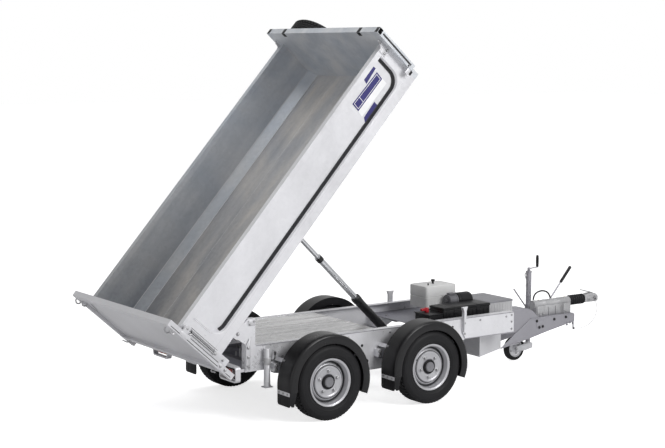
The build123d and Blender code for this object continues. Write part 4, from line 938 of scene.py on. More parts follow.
class TRAILER_OT_wheels(bpy.types.Operator):
    """Pressed wheels with their nuts, dust caps and valves, and the bare spare wheel"""
    bl_idname = "trailer.wheels"
    bl_label = "Wheels"

    def execute(self, context):
        seats = [("rim_" + name, "wheel_" + name, wheel_axes(x, side), True) for name, x, side in ROAD_WHEELS]
        seats.append(("spare_rim", "bed", SPARE_AXES, False))
        for index, (node, body, where, hubbed) in enumerate(seats):
            steel = Form()
            steel.turned(where, RIM_PROFILE, 96, closed=True)
            steel.turned(where, DISC_PROFILE, 96, closed=True)
            turn = 0.3 + index * 0.9
            nuts = [(NUT_CIRCLE * cos(turn + i * 2 * pi / 5), NUT_CIRCLE * sin(turn + i * 2 * pi / 5))
                    for i in range(5)]
            for x, y in nuts:
                steel.turned(where @ level(x, y), [(15.5, 33.8), (15.5, 35.2), (13.5, 36.2), (10.5, 35),
                                                   (10.5, 33.8)], 28, closed=True)
            # dark rings in the troughs of the pressing: painted shade
            painted_shade = Form()
            painted_shade.turned(where, [(142.5, 14), (159.5, 12.8), (159.5, 14.2), (142.5, 15.4)], 72, closed=True)
            painted_shade.turned(where, [(121.5, 30), (128.5, 26.2), (129.7, 27), (122, 31.2)], 72, closed=True)
            painted_shade.piece(node + "_grooves", body, "painted_shade")
            steel.piece(node + "_pressing", body, "wheel", (node,), 36.0)
            details = Form()
            angle = turn + 0.55
            details.pipe(where, [(150 * cos(angle), 150 * sin(angle), 12),
                                 (147.5 * cos(angle), 147.5 * sin(angle), 22),
                                 (144 * cos(angle), 144 * sin(angle), 40)], 4.2, 12)
            details.turned(where @ level(150 * cos(angle), 150 * sin(angle)),
                           [(0, 10.8), (8.5, 10.8), (8.5, 12.8), (5, 16.5), (0, 16.5)], 20)
            if not hubbed:
                details.piece(node + "_valve", body, "rubber")
                places = [(SPARE_AXES @ Vector((x, y, 34.5)), BED_U) for x, y in nuts]
                fasteners("spare_rim_nuts", "bed", places, head=10.5, height=12, washer=12.5, stud=10)
                plate = Form()
                plate.turned(SPARE_AXES, [(0, 28.5), (58, 28.5), (58, 32.5), (50, 34.5), (0, 34.5)])
                plate.piece("spare_centre_plate", "bed", "zinc_fitting")
                continue
            details.turned(where, [(38, 34.5), (54, 34.5), (54.5, 39), (52, 43), (47, 45),
                                   (38, 45.5)], 56, closed=True)
            details.piece(node + "_hub_ring", body, "rubber")
            drum = Form()
            drum.turned(where, [(20.2, -24), (98, -24), (103, -21.5), (104.8, -18), (104.8, -6),
                                (102, -4), (102, 6), (104.8, 8), (104.8, 23), (102, 27.8),
                                (20.2, 27.8)], 64, closed=True)
            drum.turned(where, [(0, 20), (44, 20), (44, 35), (0, 35)], 40)
            drum.piece(node + "_drum", body, "zinc_dark")
            cap = Form()
            cap.turned(where, [(0, 35), (38.5, 35), (39.5, 44), (38.5, 50), (35, 54.5),
                               (27, 55.6), (24.5, 54.5), (8, 54.5), (6, 55.2), (0, 55.3)], 56)
            cap.piece(node + "_dust_cap", body, "cap_grey")
            places = [(where @ Vector((x, y, 35)), where.to_3x3() @ Vector((0, 0, 1))) for x, y in nuts]
            fasteners(node + "_nuts", body, places, head=11.2, height=13, washer=13, stud=5)
        return {"FINISHED"}


class TRAILER_OT_mudguards(bpy.types.Operator):
    """Moulded guards with rolled shoulders and skirts, flaps and clamp strips"""
    bl_idname = "trailer.mudguards"
    bl_label = "Mudguards"

    def execute(self, context):
        radius = 365
        for name, side in (("right", -1), ("left", 1)):
            shell, strips, flaps, places = Form(), Form(), Form(), []
            section = [
                (604, 365), (700, 365), (730, 365), (748, 364.6), (762, 363), (771, 359),
                (776, 353), (778, 344), (778, 299), (776.8, 295.5), (774.5, 295.5), (773.8, 299),
                (773.8, 344), (772.2, 351.5), (768, 356), (760, 359.2), (747, 360.6), (608.5, 360.6),
                (608.5, 299), (604, 299)]
            for x in (REAR_AXLE, FRONT_AXLE):
                centre = Vector((x - 8, 0, AXLE_Z))
                rings = []
                for i in range(73):
                    angle = radians(-20 + 206 * i / 72)
                    drop = max(0.0, 1.0 - i / 5.0)
                    rings.append([centre + Vector((r * cos(angle), side * y, r * sin(angle)))
                                  - Vector((0, side * 6 * drop * (y > 750), 0)) for y, r in section])
                shell.skin(Matrix(), rings)
                rear_x = centre.x + radius * cos(radians(186))
                flaps.plate(end_on(rear_x - 1.8, side * WHEEL_Y, 0), [
                    (-86.5, 262), (-86.5, 165), (-78, 151), (-66, 147.5), (66, 147.5), (78, 151),
                    (86.5, 165), (86.5, 262)], 4, bevel=1)
                flaps.plate(side_on(y=side * 777.5), [
                    (rear_x + 1, 262), (rear_x + 1, 170), (rear_x + 12, 152), (rear_x + 34, 150),
                    (rear_x + 62, 262)], side * 4, bevel=1)
                for grain in (-45, 0, 45):
                    flaps.plate(end_on(rear_x - 2.8, side * WHEEL_Y + grain, 0),
                                rounded(6, 70, 2.8, 3, (0, 195)), 1.6)
                strips.plate(end_on(rear_x - 4.8, side * WHEEL_Y, 0),
                             rounded(166, 29, 6, 3, (0, 244)), 2.6, bevel=0.8)
                for y in (-56, 0, 56):
                    places.append((Vector((rear_x - 4.8, side * WHEEL_Y + y, 244)), (-1, 0, 0)))
                for angle in (25, 150):
                    a = radians(angle)
                    for y in (616, 634):
                        places.append((centre + Vector((radius * cos(a), side * (y - 6), radius * sin(a))),
                                       (cos(a), 0, sin(a))))
            shell.piece(f"mudguard_shells_{name}", "chassis", "guard",
                        (f"mudguards_{name}",), 30.0)
            flaps.piece(f"mudguard_flaps_{name}", "chassis", "rubber")
            strips.piece(f"mudguard_strips_{name}", "chassis", "zinc_fitting")
            fasteners(f"mudguard_bolts_{name}", "chassis", places, head=5.5, height=3.5, washer=8.5, stud=1)
        return {"FINISHED"}


class TRAILER_OT_running_gear(bpy.types.Operator):
    """U-bolts, plates, clips and bolts of the springs"""
    bl_idname = "trailer.running_gear"
    bl_label = "Running gear"

    def execute(self, context):
        rods, plates, places = Form(), Form(), []
        for side in SIDES:
            for x in (REAR_AXLE, FRONT_AXLE):
                for dx in (-32, 32):
                    inner, outer = side * 488.5, side * 551.5
                    crown = [(x + dx, inner, 243), (x + dx, inner, 352), (x + dx, inner + side * 6, 358.5),
                             (x + dx, outer - side * 6, 358.5), (x + dx, outer, 352), (x + dx, outer, 243)]
                    rods.pipe(Matrix(), crown, 5.5, 12)
                    places += [(Vector((x + dx, inner, 248)), (0, 0, -1)),
                               (Vector((x + dx, outer, 248)), (0, 0, -1))]
                plates.block(level(x, side * 520, 252.5), (100, 82, 8), bevel=3)
                for dx in (-200, 200):
                    rise = 26 * (dx / 360) ** 2
                    plates.block(level(x + dx, side * 520, 343.5 + rise), (24, 56, 22), bevel=3)
                for end in SIDES:
                    bx = x + end * 345
                    places += [outward(side, bx, 545.5, z) for z in (392, 420)]
        rods.piece("spring_u_bolts", "chassis", "bolt")
        plates.piece("spring_plates", "chassis", "zinc_fitting")
        fasteners("spring_bolts", "chassis", places, head=9.5, height=8, washer=12)
        return {"FINISHED"}


class TRAILER_OT_chassis(bpy.types.Operator):
    """Deck pattern, folds, holes, post stiffeners, prop stands and bolts of the chassis"""
    bl_idname = "trailer.chassis"
    bl_label = "Chassis"

    def execute(self, context):
        radius = context.scene.trailer.bolt_radius * 1000
        mesh = TREES["lozenges"].grow("deck", {
            "Length": 1090, "Width": 930, "Along": 37, "Across": 31, "Lozenge": (11.5, 3, 0.7)})
        hand_over("deck_lozenges", placed(mesh, level(REAR_AXLE + 85, 0, 577.8)), "chassis", "deck")
        folds, dark, posts, places, small = Form(), Form(), Form(), [], []
        for side in SIDES:
            y = side * 493.5
            # rolled edge along the top, and the fold where the deep part begins
            folds.pipe(Matrix(), [(REAR_AXLE - 485, y, 578.5), (FRAME_FRONT - 4, y, 578.5)], 3.2, 10)
            folds.pipe(Matrix(), [(FRONT_AXLE + 555, y, 410.5), (FRAME_FRONT - 4, y, 410.5)], 3, 10)
            # dark discs where the frame's holes are: painted shade
            for x, z, r in ((-522, 343, 13), (-610, 300, 9), (300, 360, 12), (330, 520, 9),
                            (-570, 470, 10)):
                dark.turned(outboard(x, side * 492.1, z, side),
                            [(0, 0), (r, 0), (r + 1.5, 0.9), (r * 0.8, 1.3), (0, 0.4)], 28)
            # stiffener on the hinge post and its slanted top plate
            post = [(REAR_AXLE - 575, 400), (REAR_AXLE - 540, 400), (REAR_AXLE - 532, 640),
                    (REAR_AXLE - 545, 640), (REAR_AXLE - 575, 590)]
            posts.plate(side_on(y=side * 492), post, -side * 8, bevel=2)
            posts.plate(side_on(y=side * 492), rounded(60, 40, 10, 3, (REAR_AXLE - 522, 752)),
                        -side * 6, bevel=1.5)
            for x, z in ((REAR_AXLE - 505, 762), (REAR_AXLE - 538, 742)):
                small.append(outward(side, x, 497.5, z))
            places += [outward(side, REAR_AXLE - 556, 499.5, z) for z in (430, 500, 570)]
            places.append(outward(side, HINGE.x, FRAME_FACE, HINGE.z))
            for x in (-700, -300, 100, 620, 900):
                small.append(outward(side, x, FRAME_FACE, 548))
            for z in (440, 500, 556):
                small.append(outward(side, FRAME_FRONT - 24, FRAME_FACE, z))
            # folded edge of the bed rest
            posts.plate(side_on(y=side * 504), [
                (REAR_AXLE + 1474, 470), (REAR_AXLE + 1480, 470), (REAR_AXLE + 1480, 640),
                (REAR_AXLE + 1466, 672), (REAR_AXLE + 1461, 672), (REAR_AXLE + 1474, 640)], -side * 16,
                bevel=1.5)
            small += [outward(side, REAR_AXLE + 1495, 504.5, z) for z in (455, 540)]
        folds.piece("frame_folds", "chassis", "zinc_dull")
        dark.piece("frame_holes", "chassis", "black_bolt_and_painted_shade")
        posts.piece("hinge_post_stiffeners", "chassis", "zinc_fitting")
        fasteners("frame_bolts", "chassis", places, head=radius, height=7, washer=13)
        fasteners("frame_small_bolts", "chassis", small, "bolt", head=6, height=4, washer=9, stud=1)

        stands, clamps, ends, marks = Form(), Form(), Form(), []
        for side in SIDES:
            x, y = REAR_AXLE - 408, side * 520
            stands.turned(level(x, y), [
                (0, 262), (22.5, 262), (24, 264), (24, 300), (25.2, 302), (25.2, 306),
                (24, 308), (24, 549), (22.5, 552), (0, 552)], 40)
            stands.block(level(x, y, 266), (70, 60, 7.8), bevel=3)
            for rib in SIDES:
                stands.plate(side_on(x, y, 269.5), [(rib * 23, 0), (rib * 33, 0), (rib * 23, 24)], 4, lift=-2)
            clamps.block(level(x, side * 504, 460), (40, 23.4, 60), bevel=3)
            clamps.turned(level(x, y), [(24.3, 436), (30, 436), (31.5, 439), (31.5, 481), (30, 484),
                                        (24.3, 484)], 40, closed=True)
            ends.pipe(Matrix(), [(x + 30, y, 460), (x + 50, y, 460), (x + 60, y, 462), (x + 68, y, 470),
                                 (x + 72, y, 500)], 5, 12)
            ends.turned(axes((x + 72, y, 497), (1, 0, 0), (0, 1, 0)),
                        [(0, 0), (8, 0), (9, 3), (9, 22), (6, 27), (0, 28)], 20)
            marks.append((Vector((x - 31, y, 460)), (-1, 0, 0)))
        stands.piece("prop_stand_tubes", "chassis", "zinc_fitting", ("prop_stands",))
        clamps.piece("prop_stand_clamps", "chassis", "casting")
        ends.piece("prop_stand_handles", "chassis", "black_bolt_and_painted_shade")
        fasteners("prop_stand_bolts", "chassis", marks, head=8, height=6, washer=11)
        return {"FINISHED"}


class TRAILER_OT_bed(bpy.types.Operator):
    """Stripes, folds, latches, end caps and brackets of the tipping bed"""
    bl_idname = "trailer.bed"
    bl_label = "Bed"

    def execute(self, context):
        rear_end, front_end = -290, 2330
        navy, white, folds, black, fittings = Form(), Form(), Form(), Form(), Form()
        rods, dark, places = Form(), Form(), []
        for side in SIDES:
            panel = bed_side(w=side * 673.3)
            lift = -side * 0.6
            navy.plate(panel, [(2165, 494), (2172, 456), (2029, 443), (2037, 481)], lift)
            navy.plate(panel, [(1978, 300), (1978, 262), (1804, 258), (1829, 294)], lift)
            white.plate(panel, [(2159, 432), (2154, 306), (1822, 312), (1834, 443)], lift)
            # navy box with a white line round its inside
            outer = [(2158, 430), (2152, 359), (1829, 365), (1834, 442)]
            keyline = [(2146, 421), (2141, 369), (1841, 375), (1845, 432)]
            inner = [(2142, 417), (2137, 373), (1845, 379), (1849, 428)]
            navy.plate(panel, outer, lift * 2)
            for i in range(4):
                j = (i + 1) % 4
                white.plate(panel, [keyline[i], keyline[j], inner[j], inner[i]], lift * 3)
            white.plate(panel, [(1912, 377), (1908, 377), (1912, 427), (1916, 427)], lift * 3)

            # the recess's walls and a strip at their foot, painted near-black as shade
            edge = (arc(115, 238, 270, 6, (-60, 351))
                    + arc(115, 270, 360, 10, (2137, 351)) + [(2252, 500)])
            foot = (arc(98, 238, 270, 6, (-60, 351))
                    + arc(98, 270, 360, 10, (2137, 351)) + [(2235, 500)])
            rings = []
            for (u0, v0), (u1, v1) in zip(edge, foot):
                way = Vector((u1 - u0, v1 - v0, 0)).normalized()
                far, near = Vector((u0, v0, -side * 708.6)), Vector((u1, v1, -side * 673.8))
                far = far.lerp(near, 0.40)
                rings.append([far, near, near + way * 10, near + way * 10 - Vector((0, 0, side * 0.6)),
                              near + way * 1.5 - Vector((0, 0, side * 0.6)), far + way * 1.5])
            folds.skin(bed_side(), rings)
            # rolled bead round the recess's outer edge
            rim = ([(-178, 498), (-178, 351)] + arc(118, 180, 270, 8, (-60, 351))
                   + arc(118, 270, 360, 8, (2137, 351)) + [(2255, 498)])
            fittings.pipe(bed_side(w=side * 708.3), [(u, v, 0) for u, v in rim], 2.4, 8)
            # hem along the foot of the side and the fold over it
            fittings.pipe(bed_side(w=side * 707), [(rear_end, 215, 0), (front_end - 5, 215, 0)], 2.6, 8)
            fittings.pipe(bed_side(w=side * 706.5), [(rear_end, 147, 0), (front_end - 5, 147, 0)], 2.6, 8)
            # slots in the side's rear post, drawn as dark strips of painted shade, rods over them, plate and
            # ring of the latch
            for u, width in ((-288, 3), (-262, 6), (-236, 3)):
                dark.plate(bed_side(u=u, w=side * 709.2, v=330), rounded(width, 280, width * 0.45, 4),
                           -side * 0.7)
            for u in (-274, -250):
                rods.pipe(bed_side(u=u, w=side * 710.5), [(0, 195, 0), (0, 455, 0)], 5, 10)
            fittings.plate(bed_side(u=LATCH_U, w=side * 709, v=150), rounded(52, 110, 8, 3), -side * 5,
                           bevel=1.5)
            fittings.plate(bed_side(u=-262, w=side * 709, v=GATE_PIVOT_V), arc(25, 0, 330, 12), -side * 5,
                           bevel=1.2)
            ring = arc(20, 0, 345, 16, (LATCH_U, 462))
            rods.pipe(bed_side(w=side * 716), [(u, v, 0) for u, v in ring], 3.8, 10, closed=True)
            rods.pipe(bed_side(w=side * 716), [(LATCH_U, 482, 0), (LATCH_U, 500, 0), (-262, 510, 4 * side)],
                      4.2, 10)
            for v in (110, 190):
                places.append(outward_on_bed(side, LATCH_U, 714.5, v))
            # brackets where the side meets the headboard, inside and out
            fittings.plate(bed_side(w=side * 709.5), [(2268, 470), (2330, 470), (2330, 600), (2318, 600),
                                                       (2300, 548), (2268, 540)], -side * 4, bevel=1)
            for u, v in ((2285, 490), (2318, 490), (2318, 575)):
                places.append(outward_on_bed(side, u, 714, v))
            # end caps of the headboard's rails
            black.block(bed(2360, side * 762.5, 656), (47, 3, 37), bevel=1)
            black.block(bed(2360, side * 744, 675.5), (47, 37, 2.5), bevel=1)
            black.block(bed(2360, side * 744, 243.5), (47, 37, 3), bevel=1)
            black.block(bed(-298.5, side * 685, 522.5), (3, 45, 42), bevel=1)
            black.block(bed(2335.5, side * 520, 656), (5, 40, 38), bevel=1)
            black.block(bed(2359, side * 520, 675.5), (46, 40, 2.5), bevel=1)
            # open channel down the end of the headboard and a round hole by it, both drawn as dark painted
            # shade, and the stake bracket at its foot
            dark.plate(bed_side(u=2362, w=side * RAIL_END, v=450), rounded(15, 350, 4, 3), -side * 0.6)
            dark.plate(bed_side(u=2345, w=side * RAIL_END, v=290), arc(8, 0, 345, 14), -side * 0.6)
            fittings.plate(bed_side(u=2315, w=side * 750, v=262), rounded(56, 36, 8, 3), -side * 10, bevel=1)
            black.block(bed(2318, side * 757, 236), (34, 12, 20), bevel=3)
            # gusset in the corner of the headboard's front frame
            fittings.plate(bed_end(u=2383), [(side * 724, 636), (side * 724, 566), (side * 654, 636)], 2.5)
        navy.piece("stripes_navy", "bed", "navy")
        white.piece("stripes_white", "bed", "white_film")
        folds.piece("recess_walls", "bed", "painted_shade")
        fittings.piece("bed_fittings", "bed", "zinc_fitting")
        black.piece("bed_end_caps", "bed", "black")
        rods.piece("bed_rings_and_hooks", "bed", "bolt")
        dark.piece("bed_slots", "bed", "black_bolt_and_painted_shade")
        fasteners("bed_bolts", "bed", places, head=7, height=5, washer=10.5, stud=2)

        # seams inside the load space
        seams = Form()
        for w in (-290, 290):
            seams.pipe(bed(v=164.2), [(rear_end, w, 0), (front_end, w, 0)], 1.2, 6)
        for side in SIDES:
            seams.pipe(bed(v=165.5), [(rear_end, side * 582, 0), (front_end, side * 582, 0)], 3, 8)
            seams.pipe(bed(w=side * 667.2), [(rear_end, 0, 222.5), (front_end, 0, 222.5)], 3, 8)
            seams.pipe(bed(u=2332.8, w=side * 666.5), [(0, 0, 225), (0, 0, 540)], 3, 8)
        seams.pipe(bed(u=2332.5), [(0, -660, 166.5), (0, 660, 166.5)], 3.5, 8)
        seams.piece("bed_seams", "bed", "zinc_fitting")
        return {"FINISHED"}


class TRAILER_OT_tailgate(bpy.types.Operator):
    """Hems, braces, hook loops, catches and end caps of the tailgate"""
    bl_idname = "trailer.tailgate"
    bl_label = "Tailgate"

    def execute(self, context):
        post_u, hem_u, rear_u = -321, -342.4, -343.3
        frame_, dark, rods, black, places = Form(), Form(), Form(), Form(), []
        face = bed_end(u=-320.3)
        for side in SIDES:
            black.plate(bed_end(u=-320.8), [(side * 762.5, 646), (side * 762.5, 664), (side * 730, 664),
                                             (side * 730, 646)], 21, bevel=1)
            black.block(bed(post_u, side * 744, -8.8), (41, 37, 3), bevel=1)
            # triangular braces from the posts to the skin
            frame_.plate(face, [(side * 722, 600), (side * 722, 440), (side * 600, 610)], -4, bevel=1)
            frame_.plate(face, [(side * 722, 130), (side * 722, 240), (side * 640, 120)], -4, bevel=1)
            frame_.pipe(bed_end(u=-325), [(side * 716, 430, 0), (side * 600, 606, 0)], 3.5, 10)
            # edge strips down the post: two parallel folds
            for w in (727, 761):
                frame_.pipe(bed_end(u=hem_u), [(side * w, -4, 0), (side * w, 655, 0)], 2.6, 8)
            # slotted ears and catches
            frame_.plate(bed_side(u=post_u, w=side * RAIL_END, v=GATE_PIVOT_V), rounded(30, 80, 10, 3),
                         -side * 3, bevel=1)
            frame_.plate(bed_side(u=post_u, w=side * RAIL_END, v=105), rounded(34, 90, 10, 3),
                         -side * 3, bevel=1)
            # dark strips down the post's side: painted shade in the slots and gaps there
            for u, low, high in ((-332.5, 10, 640), (-308, 160, 455)):
                dark.plate(bed_side(u=u, w=side * 764.3, v=(low + high) / 2), rounded(5, high - low, 2, 4),
                           -side * 0.6)
            # hook loops on the rear face by the top rail
            for w, v in ((756, 600), (660, 590)):
                loop = [(-336, v + 24, 0), (-358, v + 20, 0), (-370, v + 2, 0), (-366, v - 14, 0),
                        (-354, v - 24, 0), (-338, v - 18, 0)]
                rods.pipe(bed_side(w=side * w), loop, 6, 10)
            places.append(outward_on_bed(side, -268, 749, 512))
            for v in (80, 130):
                places.append(outward_on_bed(side, post_u, 766, v))
            # bottom catch with its bent handle
            rods.pipe(bed_end(u=rear_u + 2), [(side * 640, 96, 0), (side * 640, 96, -20),
                                                  (side * 660, 98, -26), (side * 716, 108, -26)], 5, 10)
            frame_.plate(bed_end(u=rear_u + 1), rounded(60, 32, 6, 3, (side * 660, 96)), -4, bevel=1)
        # hems of the skin's rails
        for v in (117.5, 613.5):
            frame_.pipe(bed_end(u=hem_u), [(-722, v, 0), (722, v, 0)], 2.6, 8)
        frame_.piece("tailgate_folds", "tailgate", "zinc_fitting")
        dark.piece("tailgate_slots", "tailgate", "black_bolt_and_painted_shade")
        rods.piece("tailgate_hooks", "tailgate", "bolt")
        black.piece("tailgate_end_caps", "tailgate", "black")
        fasteners("tailgate_bolts", "tailgate", places, head=8, height=6, washer=12)
        return {"FINISHED"}


RAM_FOOT = Vector((REAR_AXLE + 1164, 0, 356))
RAM_HEAD = HINGE + BED_U * 1038 + BED_V * 84
RAM_RUN = (RAM_HEAD - RAM_FOOT).normalized()


class TRAILER_OT_ram(bpy.types.Operator):
    """Glands, end rings, hose unions and pin clips of the tipping ram"""
    bl_idname = "trailer.ram"
    bl_label = "Ram"

    def execute(self, context):
        line = along(RAM_FOOT, RAM_HEAD)
        barrel, brass, steel, clip = Form(), Form(), Form(), Form()
        barrel.turned(line, [(35.2, 520), (38.5, 522.5), (39, 528), (39, 560), (38, 566),
                             (35.2, 569.5)], 48, closed=True)
        barrel.turned(line, [(35.2, 46), (39.5, 50), (39.5, 82), (35.2, 88)], 48, closed=True)
        for r, z in ((35.2, 110), (35.2, 500)):
            barrel.turned(line, [(r, z), (r + 1.6, z + 1), (r + 1.6, z + 5), (r, z + 6)], 48, closed=True)
        union = axes(line @ Vector((0, 0, 70)), RAM_RUN, (0, -1, 0))
        brass.turned(union @ level(0, 0, 30), [(0, 0), (11, 0), (11, 18), (8.5, 20), (8.5, 28),
                                               (7, 30), (0, 30)], 6)
        barrel.piece("ram_barrel_rings", "ram_barrel", "gloss_black")
        brass.piece("ram_hose_union", "ram_barrel", "yellow_zinc")
        for sign in SIDES:
            clip.turned(outboard(RAM_FOOT.x, sign * 40.3, RAM_FOOT.z, sign),
                        [(16.1, 0), (22, 0), (22.5, 1.2), (22, 3), (16.1, 3)], 32, closed=True)
        clip.piece("ram_foot_clips", "chassis", "bolt")
        steel.turned(line, [(25.2, 1030), (28.5, 1032), (29, 1036), (29, 1072), (27.5, 1079.5),
                            (25.2, 1079.5)], 48, closed=True)
        steel.piece("ram_stage_1_gland", "ram_stage_1", "gloss_black")
        reach = (RAM_HEAD - RAM_FOOT).length
        eye = Form()
        eye.turned(line, [(18.7, reach - 60), (24, reach - 56), (24, reach - 30), (18.7, reach - 26)],
                   40, closed=True)
        eye.piece("ram_stage_2_collar", "ram_stage_2", "zinc_dark", slotted=False)
        heads = [(RAM_HEAD + Vector((0, s * 40.5, 0)), (0, s, 0)) for s in SIDES]
        fasteners("ram_head_bolt", "bed", heads, head=12, height=9, washer=16)
        return {"FINISHED"}


class TRAILER_OT_power_pack(bpy.types.Operator):
    """Oil tank, pump, motor, battery and locker on the front tray"""
    bl_idname = "trailer.power_pack"
    bl_label = "Power pack"

    def execute(self, context):
        tank = Form()
        tx, ty = REAR_AXLE + 1640, 100
        tank.skin(Matrix(), [
            [(tx + x, ty + y, z) for x, y in rounded(320 - 2 * inset, 240 - 2 * inset, radius, 6)]
            for z, inset, radius in (
                (589.4, 4, 20), (593, 0, 22), (678, 0, 22), (680, 2.5, 21), (685, 2.5, 21), (687, 0, 22),
                (766, 0, 22), (772, 2.5, 24), (774.8, 9, 26))])
        tank.turned(level(tx, ty, 0), [(0, 770), (26, 774), (25.5, 775.2), (0, 775.2)], 32)
        tank.piece("oil_tank_shell", "chassis", "tank", ("oil_tank",), 40.0)
        cap = Form()
        cap.turned(level(tx, ty, 0), [(0, 775.4), (9, 775.4), (9, 793), (14, 794.6), (17, 797.5),
                                      (17, 808), (15, 812), (0, 812.9)], 32)
        cap.turned(level(tx - 90, ty - 50, 0), [(0, 775), (6, 775), (6, 787), (3.5, 792.5),
                                                      (0, 793)], 20)
        cap.piece("tank_cap_knob", "chassis", "black", ("tank_cap",))
        ribs = TREES["ribs"].grow("tank", {
            "Ribs": 9, "First": (tx - 144, ty - 120.3, 630), "Step": (36, 0, 0), "Rib": (3, 1.6, 60)})
        hand_over("oil_tank_ribs", ribs, "chassis", "tank")

        px, py, pz = REAR_AXLE + 1730, -90, 652
        spin = end_on(px, py, pz)
        cover = Form()
        cover.turned(spin, [(0, 0.4), (56, 0.4), (61, 4), (62, 10), (62, 18),
                            (59.8, 20), (59.8, 24), (62, 26), (62, 126), (60, 137),
                            (54, 148), (44, 156), (30, 159.8), (0, 160.2)], 56)
        cover.piece("pump_cover_shell", "chassis", "black", ("pump_cover",), 40.0)
        motor = Form()
        motor.turned(spin, [(52.5, -89), (54, -87), (54, -78), (52.5, -76)], 48, closed=True)
        motor.turned(spin, [(52.5, -16), (55, -14), (55, -3), (52.5, -1)], 48, closed=True)
        motor.block(level(px - 52, py - 4, 708), (60, 40, 20), bevel=4)
        motor.turned(spin @ level(0, 0, -90.2), [(0, 0), (18, 0), (18, -6), (12, -10), (0, -10)], 24)
        motor.piece("pump_motor_bands", "chassis", "motor")
        fins = TREES["ribs"].grow("motor", {
            "Ribs": 7, "First": (REAR_AXLE + 1560, -101.2, 546), "Step": (45, 0, 0), "Rib": (4, 3, 66)})
        hand_over("pump_base_ribs", fins, "chassis", "motor")

        # battery box in two heights: lids with a lip, plugs, straps, ribs and the red terminal cover
        box, lid, red, strap = Form(), Form(), Form(), Form()
        bx, by = REAR_AXLE + 1650, -250
        step_x = REAR_AXLE + 1325
        box.block(level(bx, by, 567.2), (494, 184, 125), bevel=8, segments=3)
        box.block(level(step_x, by, 555.4), (148, 184, 101), bevel=8, segments=3)
        lid.block(level(bx, by, 638), (500, 190, 23), bevel=5, segments=3)
        lid.block(level(step_x, by, 601.5), (150, 190, 13), bevel=4, segments=3)
        for x in (-160, 0, 160):
            lid.turned(level(bx + x, by, 649), [(0, 0), (16, 0), (16, 0.6), (0, 1)], 24)
        red.turned(level(REAR_AXLE + 1330, by + 40, 608), [
            (0, 0), (18, 0), (19, 4), (19, 30), (16, 36), (0, 38)], 24)
        red.block(level(REAR_AXLE + 1296, by + 40, 630), (50, 26, 20), bevel=4)
        for x in (-120, 120):
            strap.block(level(bx + x, by - 94.8, 575), (30, 1.8, 140), bevel=0.6)
            strap.block(level(bx + x, by, 649.2), (30, 184, 1.8), bevel=0.6)
            strap.block(level(bx + x, by - 96.6, 600), (38, 2.2, 24), bevel=0.8)
        box.piece("battery_box", "chassis", "black", ("battery",))
        lid.piece("battery_lid", "chassis", "black")
        red.piece("battery_terminal_cover", "chassis", "red")
        strap.piece("battery_straps", "chassis", "rubber", slotted=False)
        mesh = TREES["ribs"].grow("black", {
            "Ribs": 12, "First": (bx - 220, by - 92.7, 565), "Step": (40, 0, 0), "Rib": (5, 3, 90)})
        hand_over("battery_ribs", mesh, "chassis", "black")

        # locker: pressed ribs on its sides, overlapping lid, latches
        rear, front = REAR_AXLE + 1994, REAR_AXLE + 2282
        mid = (rear + front) / 2
        body, top, latch = Form(), Form(), Form()
        for form, steps in (
                (body, ((520.4, 4), (522.5, 2), (608, 2), (610, 4))),
                (top, ((608.2, 1.2), (609, 0), (619, 0), (623, 2), (624.8, 7)))):
            form.skin(Matrix(), [
                [(mid + x, y, z) for x, y in rounded(288 - 2 * inset, 400 - 2 * inset, 14, 5)]
                for z, inset in steps])
        for y in (-110, 110):
            top.plate(level(0, 0, 624.6), rounded(220, 60, 12, 4, (mid, y)), 0.4)
        latch.block(level(rear + 0.5, 0, 598), (3, 60, 34), bevel=0.8)
        latch.block(level(rear + 0.5, 0, 570), (3, 34, 20), bevel=0.8)
        latch.turned(axes((rear + 2, 0, 598), (0, 1, 0), (0, 0, -1)), [(0, 0), (9, 0), (9, 1.5),
                                                                              (0, 1.9)], 24)
        body.piece("locker_body", "chassis", "aluminium", ("locker",))
        top.piece("locker_lid", "chassis", "lid")
        latch.piece("locker_latch", "chassis", "bolt")
        for side in SIDES:
            mesh = TREES["ribs"].grow("aluminium", {
                "Ribs": 9, "First": (rear + 24, side * 198.5, 565), "Step": (30, 0, 0),
                "Rib": (12, 2.8, 74)})
            hand_over(f"locker_ribs_{'left' if side > 0 else 'right'}", mesh, "chassis", "aluminium")
        places = [(Vector((REAR_AXLE + x, y, 504.4)), (0, 0, 1)) for x, y in (
            (1520, -115), (1880, -115), (1520, 115), (1880, 115), (1300, 300), (1600, 300), (1950, 300))]
        fasteners("tray_bolts", "chassis", places, head=7, height=6, washer=12)
        return {"FINISHED"}


